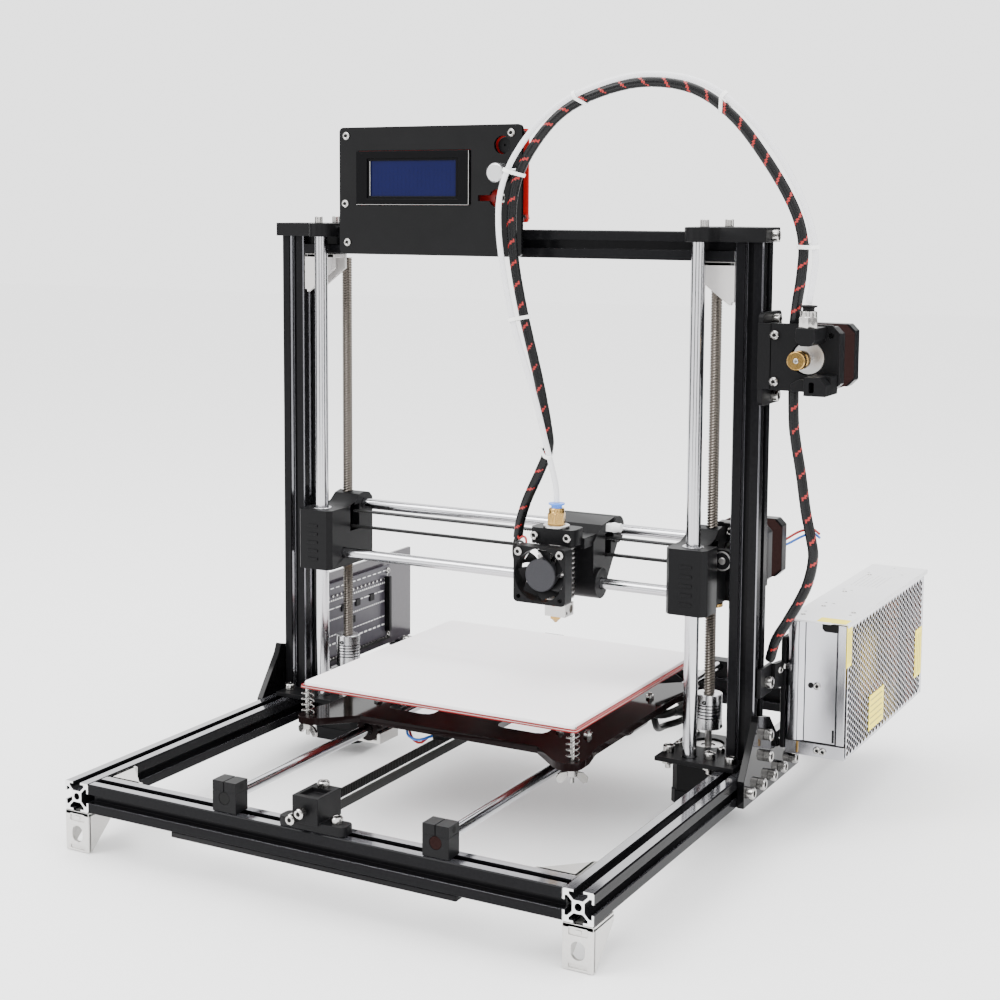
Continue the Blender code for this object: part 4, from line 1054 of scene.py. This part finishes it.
idler_arm.plate("Y", 225.0, 236.5, [(236.6, 311.6), (251.4, 311.6), (251.4, 319), (247, 323.8),
    (236.6, 323.8)], [rounded(240.2, 243.4, 313.6, 320.6, 0.6, 1)])
idler_arm.plate("Y", 236.5, 250.5, [(236.6, 311.6), (251.4, 311.6), (251.4, 324), (236.6, 324)])
idler_arm.done("extruder_idler_arm", MOULDED, "root", 0.6)
Shape().plate("Y", 241.0, 249.0, [(222.5, 312.4), (236.4, 312.4), (236.4, 319.6),
    (228, 320.6), (222.5, 317)]).done("extruder_lever", MOULDED, "root", 0.7)
screws("extruder_face_screws", "root",
       [((208.5, 249.6, 348.6), FRONT), ((208.5, 249.6, 317.4), FRONT)], 3.0, 2.6, 1.5)
screws("extruder_side_screws", "root",
       [((199.8, 272, 357.2), (1, 0, 0)), ((199.8, 272, 306.0), (1, 0, 0))], 4.0, 4.6)
Shape().lathe((237.0, 231.0, 355.3), UP, [(6.4, 0, "hex"), (6.6, 0.4, "hex"), (6.6, 7.0, "hex"),
    (5.6, 7.6), (5.6, 10.6), (5.0, 11.2), (2.2, 11.2)], 24).done("extruder_fitting", NICKEL, "root",
    0.15)
Shape().lathe((237.0, 231.0, 366.4), UP, [(2.2, 0), (3.8, 0), (3.8, 2.0), (5.6, 2.8), (5.6, 3.6),
    (2.2, 4.0)], 28).done("extruder_collet", MOULDED, "root")
Shape().lathe((EXTRUDER[0], 225.0, EXTRUDER[1]), BACK, [(0, 0.9), (1.3, 0.9), (1.5, 0.0), (5.6, 0),
    (6.2, 0.6), (6.2, 4.4), (5.2, 5.0), (5.2, 7.2), (6.2, 7.8), (6.2, 13.0), (5.9, 13.4),
    (2.6, 13.4)], 32).done("drive_gear_teeth", BRASS, "extruder_gear", 0.15,
    replaces=("drive_gear",), slot=SLOT_OF["drive_gear"])
Shape().screw((EXTRUDER[0], 226.0, EXTRUDER[1]), FRONT, 2.2, 1.3, 1.2).done("gear_screw", NICKEL,
    "extruder_gear")
GEAR_TEETH, GEAR_R = 24, 5.5
bite = Shape()
for x, z in circle(*EXTRUDER, GEAR_R, GEAR_TEETH):
    spot = Vector((x, 231.1, z))
    bite.block(spot - Vector((0.28, 1.0, 0.28)), spot + Vector((0.28, 1.0, 0.28)))
bite.done("drive_gear_knurl", BRASS, "extruder_gear")

# ---------------------------------------------------------------- bed

low, high = span("heated_bed")
BED_MIDDLE_X = 12.0
SPRING_X = 104.0
POSTS = [(BED_MIDDLE_X + a * SPRING_X, y) for a in (-1, 1) for y in (138.0, 344.0)]


def bed_layer(name, low_z, high_z, inset, material, **extra):
    ring = rounded(low.x + inset, high.x - inset, low.y + inset, high.y - inset, 2.5)
    layer = Shape().plate("Z", low_z, high_z, ring, [circle(x, y, 2.2, 12) for x, y in POSTS])
    layer.done(name, material, "bed", **extra)


bed_layer("heater_board", 93.3, 94.1, 0.0, BED_RED, replaces=("heated_bed",), slot="bed_heater")
bed_layer("bed_insulation", 94.1, 94.7, 0.25, BED_EDGE)
bed_layer("bed_tape", 94.7, 95.35, 0.1, BED_RED)
clips = Shape()
x = Y_RODS["left"]
for y in (186.0, 290.0):
    clips.plate("Y", y - 12.5, y + 12.5, [(x - 10.5, 47.6), (x + 10.5, 47.6), (x + 10.5, 55.5),
        (x + 7.4, 55.5), (x + 7.4, 50.4), (x - 7.4, 50.4), (x - 7.4, 55.5), (x - 10.5, 55.5)])
clips.done("bearing_clamps", CASTING, "bed", 0.5)
SPRING_LOW, SPRING_HIGH = 74.2, 92.6
SPRING_R, SPRING_WIRE_R = 4.3, 0.42
SPRING_TURNS, SPRING_SIDES = 4.5, 16
WING = [(2.2, 0), (2.4, 3.4), (7.0, 8.0), (9.8, 7.4), (10.4, 4.2), (7.4, 1.0)]
posts = Shape()
wings = Shape()
springs = Shape()
for x, y in POSTS:
    posts.rod((x, y, 58.6), (x, y, 94.6), 1.5, 16, 0.3)
    posts.screw((x, y, 94.4), UP, 2.9, 1.7, 1.4)
    turn = math.radians(25 if x > 0 else -20)
    wings.lathe((x, y, 68.2), DOWN, [(1.5, 0), (4.0, 0), (3.4, 5.0), (1.5, 5.0)], 20)
    for a in (-1, 1):
        reach = Vector((math.cos(turn), math.sin(turn), 0)) * a
        side = Vector((-reach.y, reach.x, 0)) * 1.1
        base = Vector((x, y, 66.6))
        ring = [base + reach * out - Vector((0, 0, drop)) for out, drop in WING]
        wings.slab([p - side for p in ring], [p + side for p in ring])
    coil = []
    for i in range(int(SPRING_TURNS * SPRING_SIDES) + 1):
        angle = 2 * math.pi * i / SPRING_SIDES
        rise = (SPRING_HIGH - SPRING_LOW) * i / (SPRING_TURNS * SPRING_SIDES)
        coil.append((x + SPRING_R * math.cos(angle), y + SPRING_R * math.sin(angle),
            SPRING_LOW + rise))
    springs.tube(coil, SPRING_WIRE_R, 8)
posts.done("levelling_screws", NICKEL, "bed")
wings.done("wing_nuts", NICKEL, "bed", 0.25)
springs.done("levelling_springs", SPRING, "bed", degrees=60)
plate_nuts = Shape()
for x in (-66.5, -46.0, 81.0, 102.0):
    for y in (192.0, 299.0):
        plate_nuts.nut((x, y, 73.5), UP, 3.2, 2.4, 1.5, 1.8)
plate_nuts.done("bearing_nuts", NICKEL, "bed")
Shape().block((-6.5, 238, 58), (8.5, 262, 68.3)).done("y_belt_clamp", MOULDED, "bed", 0.8)

# ---------------------------------------------------------------- y belt, idler and rod blocks

belt("y_belt_left", "root", (-4.6, 17.0, Y_ROD_Z), (-5.0, 436.0, Y_ROD_Z), BELT_WIDTH, BELT_THICK,
     (-1, 0, 0))
belt("y_belt_right", "root", (5.4, 17.0, Y_ROD_Z), (6.9, 436.0, Y_ROD_Z), BELT_WIDTH, BELT_THICK,
     (1, 0, 0))
Shape().lathe((*Y_PULLEY, 53.5), UP, [(2.6, 0), (7.8, 0), (7.8, 1), (5.7, 1), (5.7, 8), (7.8, 8),
    (7.8, 11.5), (2.6, 11.5)], 28).done("y_pulley", ALUMINIUM, "root")
Shape().lathe((0.4, 17.0, 53.2), UP, [(1.5, 0), (5.2, 0), (5.2, 0.8), (4.2, 0.8), (4.2, 8.2),
    (5.2, 8.2), (5.2, 9.0), (1.5, 9.0)], 24).done("y_idler", GROUND, "root")
screws("tensioner_screws", "root", [((-0.6, 20.5, 70.5), UP), ((17.5, 8.0, 54.5), UP)], 4.0, 4.0,
       2.0)
screws("tensioner_thumb_screws", "root", [((-7.0, -3.5, 56.6), FRONT), ((-0.4, -3.5, 61.4), FRONT)],
       3.3, 5.0, 1.6)
Shape().rod((-6.8, -5.0, 57.0), (-6.8, 2.0, 57.0), 1.4, 12).rod((-0.8, -5.0, 62.5),
    (-0.8, 2.0, 62.5), 1.4, 12).done("tensioner_threads", NICKEL, "root")

for side, x in Y_RODS.items():
    for end, low_y, top in (("front", 1.5, 68.5), ("rear", 465.5, ROD_BLOCK_TOP)):
        name = "y_rod_block_" + end + "_" + side
        half = Shape()
        if end == "front":
            for first, second in ((x - 9.1, x - 0.5), (x + 0.1, x + 9.1)):
                half.plate("Y", low_y, low_y + 13,
                           [(first, ROD_BLOCK_TOP), (second, ROD_BLOCK_TOP), (second, top),
                            (first, top)])
        bore = circle(x, Y_ROD_Z, 4.25, 24)
        half.plate("Y", low_y, low_y + 13, rounded(x - 9.1, x + 9.1, 48.3, ROD_BLOCK_TOP, 0.3, 1),
                   [bore])
        half.done(name + "_body", MOULDED, "root", 0.5, replaces=(name,), slot="black_moulding")
        # A thin dark disc on the block's side for the clamp screw's hole: painted shade.
        hole = Shape()
        hole.lathe((x + 9.05, low_y + 6.5, min(65.4, top - 2.6)), (1, 0, 0),
                   [(0.9, 0), (1.9, 0), (2.1, 0.12), (0.9, 0.12)], 20)
        hole.done(name + "_clamp_hole_shade", PAINTED_SHADE_AND_BLACK_OXIDE, "root")
    # Dark discs over the rods' front ends: painted shade, in the lamination colour on the right.
    shade = Shape().rod((x, 1.6, Y_ROD_Z), (x, 2.95, Y_ROD_Z), 4.22, 24, 0.3)
    shade.done("rod_end_" + side, PAINTED_SHADE_AND_BLACK_OXIDE if side == "left" else LAMINATIONS_AND_SHADE, "root")

# ---------------------------------------------------------------- display

KNOB_AT = (5.6, 456.7)
BUZZER_AT = (5.1, 476.4)
Shape().plate("Y", 255.2, 256.8, rounded(-129, 20.7, 421.5, 488, 1.5),
    [circle(x, z, 1.6, 12) for x in (-125.5, 17.4) for z in (425, 484.5)]).done("display_circuit",
    RED_BOARD, "root", 0.15, replaces=("display_module",), slot="display")
frame_ring = [(-117, 433.7), (-21, 433.7), (-21, 473.2), (-117, 473.2)]
window = [(-105.3, 440.0), (-32.6, 440.0), (-32.6, 466.0), (-105.3, 466.0)]
bezel = Shape().plate("Y", 242.7, 255.0, frame_ring, [[(-107.5, 438.2), (-30.4, 438.2),
    (-30.4, 467.8), (-107.5, 467.8)]])
bezel.plate("Y", 243.8, 246.0, [(-108, 437.6), (-30, 437.6), (-30, 468.4), (-108, 468.4)], [window])
bezel.done("display_bezel", BEZEL, "root", 0.5)
Shape().plate("Y", 244.9, 246.8, [(-107, 438.6), (-31, 438.6), (-31, 467.4),
    (-107, 467.4)]).done("display_screen", SCREEN, "root", 0.3)
# Thin metal-coloured strips along the bezel's and window's edges: painted highlights.
edge_highlights = Shape()
edge_highlights.block((-21.25, 242.45, 434.2), (-20.95, 242.9, 472.8)).block((-105.6, 243.7, 440.2),
    (-105.3, 244.2, 465.8))
edge_highlights.block((-116.8, 242.5, 433.75), (-21.2, 242.8, 433.95))
edge_highlights.done("display_edge_highlights", ALUMINIUM, "root")
cells = Shape()
for row in range(4):
    for column in range(20):
        x = -102.0 + column * 3.42
        z = 461.4 - row * 5.75
        cells.block((x, 244.83, z - 4.6), (x + 2.9, 244.95, z))
cells.done("display_cells", SCREEN, "root")
Shape().lathe((BUZZER_AT[0], 255.1, BUZZER_AT[1]), FRONT,
    [(5.9, 0), (5.9, 5.4), (5.5, 5.8), (1.1, 5.8), (1.0, 4.6), (0, 4.6)], 28).done("buzzer", FAN,
    "root")
Shape().block((-0.4, 248.4, 450.7), (11.6, 255.1, 462.7)).block((2.6, 246.8, 453.7),
    (8.6, 248.4, 459.7)).done("encoder_case", ALUMINIUM, "root", 0.3)
Shape().block((-2.2, 250.7, 435.4), (4.4, 255.1, 442.0)).done("reset_switch", NICKEL, "root", 0.3)
stand = Shape()
for x in (-125.5, 17.4):
    for z in (425.0, 484.5):
        stand.rod((x, 247.7, z), (x, 255.0, z), 2.8, 6)
        stand.nut((x, 256.8, z), BACK, 3.1, 2.4, 1.5, 2.0)
stand.done("display_standoffs", NICKEL, "root")
DISPLAY_SCREWS = [(-126.5, 484.8), (12.6, 484.9), (-127.5, 434.4), (-125.7, 405.6)]
places = [((x, 244.5, z), FRONT) for x, z in DISPLAY_SCREWS]
screws("display_screws", "root", places, 2.9, 1.8, 1.5)
Shape().lathe((KNOB_AT[0], 231.5, KNOB_AT[1]), FRONT,
    [(6.2, -0.5), (5.7, 0.05), (2.5, 0.12), (0, 0.0)], 40).done("knob_face", KNOB, "knob")
GRIP_RIDGES, GRIP_R = 30, 6.75
grip = Shape()
for x, z in circle(*KNOB_AT, GRIP_R, GRIP_RIDGES):
    grip.block((x - 0.22, 233.0, z - 0.22), (x + 0.22, 239.0, z + 0.22))
grip.done("knob_grip", KNOB, "knob")

# ---------------------------------------------------------------- power supply

X0, X1 = 206.0, 249.0
Y0, Y1 = 300.0, 499.0
Z0, Z1 = 50.0, 147.0
case = Shape()
case.block((X0, Y0, Z0), (X0 + 1.2, Y1, Z1))
case.block((X0, Y1 - 1.2, Z0), (X1, Y1, Z1))
case.block((X0, Y0, Z0), (X1 - 1.2, Y1, Z0 + 1.2))
case.done("supply_case", ZINC, "root", 0.3, replaces=("power_supply",), slot="zinc_case")

LID_HOLES = [(212, 318), (243, 322), (216, 352), (222, 351), (214, 402), (220, 401)]
LID_HOLES += [(213, 470), (238, 474), (226, 496)]
outline = [(206.2, 291.7), (238, 291.7), (240, 294.5), (250.2, 294.5)]
outline += [(250.2, 504.8), (206.2, 504.8)]
lid = Shape().plate("Z", 146.6, 147.9, outline, [circle(x, y, 1.2, 10) for x, y in LID_HOLES])
lid.block((249.1, 296, 144.6), (250.2, 504.8, 146.7))
lid.done("supply_lid", LID, "root", 0.2, slot="zinc_case")
MESH_Y, MESH_Z = 8.0, 2.3
holes = []
row = 0
z = Z0 + 3.6
while z < Z1 - 4.0:
    y = Y0 + 4.0 + (MESH_Y / 2 if row % 2 else 0.0)
    while y < Y1 - 3.5:
        holes.append([(y - 2.75, z), (y - 1.15, z - 1.7), (y + 1.15, z - 1.7), (y + 2.75, z),
            (y + 1.15, z + 1.7), (y - 1.15, z + 1.7)])
        y += MESH_Y
    z += MESH_Z
    row += 1
Shape().plate("X", X1 - 1.2, X1 - 0.2, [(Y0, Z0), (Y1, Z0), (Y1, Z1 - 0.5),
    (Y0, Z1 - 0.5)], holes).done("supply_mesh", ZINC, "root", slot="zinc_case")


def rolled(radius, degrees):
    """Points of the cover's rolled edge, which is flatter than a circle."""
    angles = [math.radians(a) for a in degrees]
    return [(213.0 + radius * math.cos(a), 298.5 - radius * math.sin(a) * 0.8) for a in angles]


roll = rolled(6.4, range(180, 20, -16))
inner = rolled(5.4, range(20, 196, 16))
sheet = [(206.6, 313), (206.6, 298.5)] + roll + [(219.4, 296.0), (242.0, 296.0), (243.4, 294.8),
    (248.6, 294.8), (248.6, 296.0), (244.0, 296.0), (242.6, 297.1), (219.0, 297.1)]
sheet += inner + [(207.8, 299), (207.8, 313)]
cover = Shape()
cover.prism("Z", 61.0, 146.0, sheet)
cover.block((206.4, 296.4, 50.2), (248.6, 297.6, 59.5))
cover.done("supply_cover", ZINC, "root", 0.15, slot="zinc_case")
# Dark patches over the cover's notch, slot and round hole: painted shade in the openings.
notch = Shape().prism("Y", 295.2, 296.2, [(231.5, 146), (231.5, 142.5), (233.5, 140.4),
    (243.5, 140.4), (243.5, 146)])
notch.block((240.0, 295.6, 62.0), (241.4, 296.1, 71.0))
notch.rod((224.2, 295.4, 101.0), (224.2, 296.4, 101.0), 2.0, 20)
notch.done("supply_opening_shade", PAINTED_SHADE_AND_BLACK_OXIDE, "root")
# Thin dark strips along the cover's steps and grooves: painted shade.
cover_groove_shade = Shape()
cover_groove_shade.block((219.5, 295.4, 61.0), (220.1, 296.05, 146.0)).block((215.4, 293.2, 61.0),
    (215.7, 293.9, 146.0))
cover_groove_shade.block((242.0, 295.6, 61.0), (242.4, 296.1, 140.0)).block((206.6, 296.0, 59.6),
    (248.6, 297.0, 60.9))
cover_groove_shade.done("supply_cover_groove_shade", PAINTED_SHADE_AND_BLACK_OXIDE, "root")
screws("supply_screws", "root", [((228.6, 296.0, 101.0), FRONT), ((229.5, 296.4, 55.0), FRONT),
    ((233.6, 296.4, 54.6), FRONT)], 2.6, 1.6, 1.2)
lid_screws = [((213.5, 308, 147.9), UP), ((218, 340, 147.9), UP), ((217, 394, 147.9), UP),
    ((216, 462, 147.9), UP), ((243, 330, 147.9), UP)]
screws("supply_lid_screws", "root", lid_screws, 1.9, 0.4, 0.9)
Shape().block((208.0, 298, 51.5), (213.0, 312, 60.5)).done("supply_terminal",
    look("terminal_green", (0.12, 0.3, 0.12), 0.4), "root", 0.3)
Shape().block((214.2, 296.0, 51.5), (216.0, 312, 62)).done("supply_divider", BRASS, "root", 0.2)

stick = Shape()
stick.block((X1 - 0.2, 296.0, 116.0), (X1 + 0.05, 307.5, 146.5))
stick.block((X1 - 0.2, 355.0, 56.0), (X1 + 0.05, 392.0, 82.0))
stick.block((X1 - 0.2, 478.0, 66.0), (X1 + 0.05, 497.0, 104.0))
stick.block((228.0, 293.0, 147.8), (248.9, 305.5, 148.0))
stick.done("supply_labels", STICKER, "root", 0.05)
ink = Shape()
for i in range(5):
    ink.block((X1 + 0.02, 358.0, 60.0 + 4.4 * i), (X1 + 0.1, 388.0, 61.0 + 4.4 * i))
for i in range(3):
    ink.block((X1 + 0.02, 298.5 + 2.8 * i, 119), (X1 + 0.1, 299.2 + 2.8 * i, 141))
    ink.block((X1 + 0.02, 481 + 5 * i, 69), (X1 + 0.1, 482.2 + 5 * i, 100))
ink.done("supply_label_lines", PRINT, "root")
faint = Shape()
for i in range(7):
    faint.block((214.0 + 3.2 * i, 418.0, 147.88), (214.6 + 3.2 * i, 462.0 - 3 * (i % 3), 147.94))
faint.done("supply_lid_print", look("pale_print", (0.55, 0.55, 0.56), 0.5), "root")
# A dark block inside the case, seen through the mesh holes: painted shade.
inside_shade_block = Shape()
inside_shade_block.block((208, 305, 52), (226, 495, 144))
inside_shade_block.done("supply_inside_shade", PAINTED_SHADE_AND_BLACK_OXIDE, "root", 0.5)
coil_pack = Shape()
for z in range(12):
    coil_pack.lathe((234, 372, 62 + z * 2.6), UP, [(6, 0), (12.5, 0.2), (12.9, 1.2), (12.5, 2.4),
        (6, 2.4)], 20)
for i in range(9):
    coil_pack.lathe((232, 452, 66 + i * 7.6), UP, [(3, 0), (10.5, 0.4), (11, 3.4), (10.5, 6.4),
        (3, 6.8)], 18)
coil_pack.done("supply_coils", COPPER, "root")
Shape().block((227, 330, 92), (246, 368, 132)).block((228, 388, 56), (245, 420, 84)).done(
    "supply_transformer", YELLOW, "root", 1.0)
Shape().rod((236, 318, 52), (236, 318, 88), 8, 24, 0.8).rod((236, 480, 52), (236, 480, 96), 9, 24,
    0.8).rod((236, 434, 52), (236, 434, 90), 8, 24, 0.8).done("supply_capacitors", CAP, "root")

ear = Shape()
ear.block((196.4, 262.0, 96.0), (199.4, 287.0, 116.0))
ear.prism("Z", 98.0, 116.0,
          [(199.4, 284), (199.4, 288.5), (202.2, 301), (205.2, 301), (205.2, 296), (202.4, 284)])
ear.plate("X", 202.2, 205.7, rounded(296, 480, 52.4, 132.6, 3.0), [rounded(350, 440, 72, 113, 6.0)])
ear.done("supply_plate", MOULDED, "root", 0.5, replaces=("power_supply_plate",),
         slot="black_moulding")
screws("supply_ear_screw", "root", [((199.4, 273, 105.5), (1, 0, 0))], 4.2, 5.0)
screws("supply_ear_small_screws", "root",
       [((203.0, 290.5, 110.5), (0.97, -0.22, 0)), ((204.4, 297.0, 112.0), (0.97, -0.22, 0))],
       2.6, 1.8, 1.2)

# ---------------------------------------------------------------- controller board

face_x = span("controller_board")[1].x
parts_dark = Shape()
parts_metal = Shape()
silk = Shape()
for y, z, dy, dz, dx in ((330, 97, 7, 6, 1.2), (352, 97, 7, 6, 1.2), (374, 97, 7, 6, 1.2),
        (340, 84, 11, 6, 1.2), (296, 58.8, 108, 2.0, 3.0), (399, 66, 4, 48, 5.0)):
    parts_dark.block((face_x, y, z), (face_x + dx, y + dy, z + dz))
for i in range(22):
    parts_metal.block((face_x, 300 + 4.6 * i, 60.6), (face_x + 2.6, 301.4 + 4.6 * i, 62.0))
for i in range(16):
    parts_metal.rod((face_x, 304 + 6.2 * i, 112.5), (face_x + 1.4, 304 + 6.2 * i, 112.5), 1.0, 10)
for row, (z, dash, gap) in enumerate(((118.5, 5.0, 3.2), (108.0, 1.6, 1.6), (101.5, 9.0, 2.0),
        (92.0, 1.2, 1.8), (79.0, 3.0, 1.4), (71.5, 4.4, 2.6))):
    y = 298.0 + row
    while y < 402.0:
        silk.block((face_x, y, z), (face_x + 0.12, y + dash, z + 0.8 + 0.5 * (row % 2)))
        y += dash + gap
for y in (296.8, 403.2):
    silk.block((face_x, y, 61.0), (face_x + 0.12, y + 0.5, 121.0))
parts_dark.done("controller_chips", MOULDED, "root", 0.4)
parts_metal.done("controller_pins", NICKEL, "root", 0.15)
silk.done("controller_markings", SILK, "root")
screws("controller_screws", "root",
       [((face_x, y, z), (1, 0, 0)) for y in (296.5, 403.5) for z in (63.0, 118.5)],
       2.6, 1.8, 1.2)
Shape().block((-196, 418, 48.5), (-176, 446, 51.0)).block((-196, 296, 48.5),
    (-176, 316, 51.0)).done("electronics_flange", ACRYLIC, "root", 0.4)
screws("electronics_screws", "root", [((-186, 430, 51.0), UP), ((-186, 306, 51.0), UP)], 4.0, 4.0)

# ---------------------------------------------------------------- wires


def wire(name, body, route, radius, material, sides=10):
    return Shape().tube(smooth_path(route, 3.0), radius, sides).done(name, material, body,
        degrees=60)


wire("fan_wire_red", "x_slide", [(26.5, 232, 199), (29, 229, 196.5), (33, 226, 199.5),
    (38, 222, 199), (42, 214, 194), (43, 209.5, 188)], 0.8, RED)
wire("fan_wire_black", "x_slide", [(25.5, 233, 198), (26.5, 229, 193.5), (31, 225, 196),
    (37, 220, 196), (41, 213, 191), (42.5, 209.5, 184)], 0.8, BLACK)
wire("hotend_cable", "x_slide", [(25, 234.5, 198), (22.5, 235, 190), (23, 236, 180), (30, 238, 168),
    (44, 238, 158), (55, 232.5, 151)], 1.9, BLACK)
wire("x_motor_wire_red", "z_gantry", [(181, 338.2, 190), (186, 346, 192), (195, 352, 198),
    (205, 350, 201), (212, 345, 199)], 0.9, RED)
wire("x_motor_wire_blue", "z_gantry", [(181, 338.2, 187), (187, 347, 188.5), (196, 353, 194),
    (205, 351, 198), (212, 346, 196)], 0.9, WIRE_BLUE)
wire("bed_wire_blue", "bed",
     [(-28, 168, 67), (-22, 160, 63), (-14, 160, 61), (-7, 166, 63), (-3, 171, 63)], 0.9,
     WIRE_BLUE)
wire("bed_wire_red", "bed", [(-28, 170, 66), (-20, 163, 60), (-13, 162, 58.5), (-8.5, 167, 62.6),
    (-3, 172, 62.6)], 0.9, RED)
Shape().block((-6.0, 166, 61.0), (4.0, 176, 65.8)).done("bed_connector", MOULDED, "bed", 0.6)
wire("bed_cable", "bed", [(100, 335, 90.5), (112, 340, 82), (121, 335, 74), (122, 318, 66),
    (112, 300, 62), (96, 300, 63)], 3.0, BLACK, 14)
wire("bed_cable_loop", "bed", [(104, 300, 63), (105, 303, 54), (103, 313, 47), (104, 326, 46),
    (114, 330, 50), (124, 322, 58), (118, 306, 64)], 2.6, BLACK, 14)
wire("bed_cable_thin", "bed", [(90, 338, 90.5), (104, 346, 84), (118, 345, 76), (124, 330, 68),
    (120, 312, 61), (104, 306, 62)], 1.6, BLACK)

low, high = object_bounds()
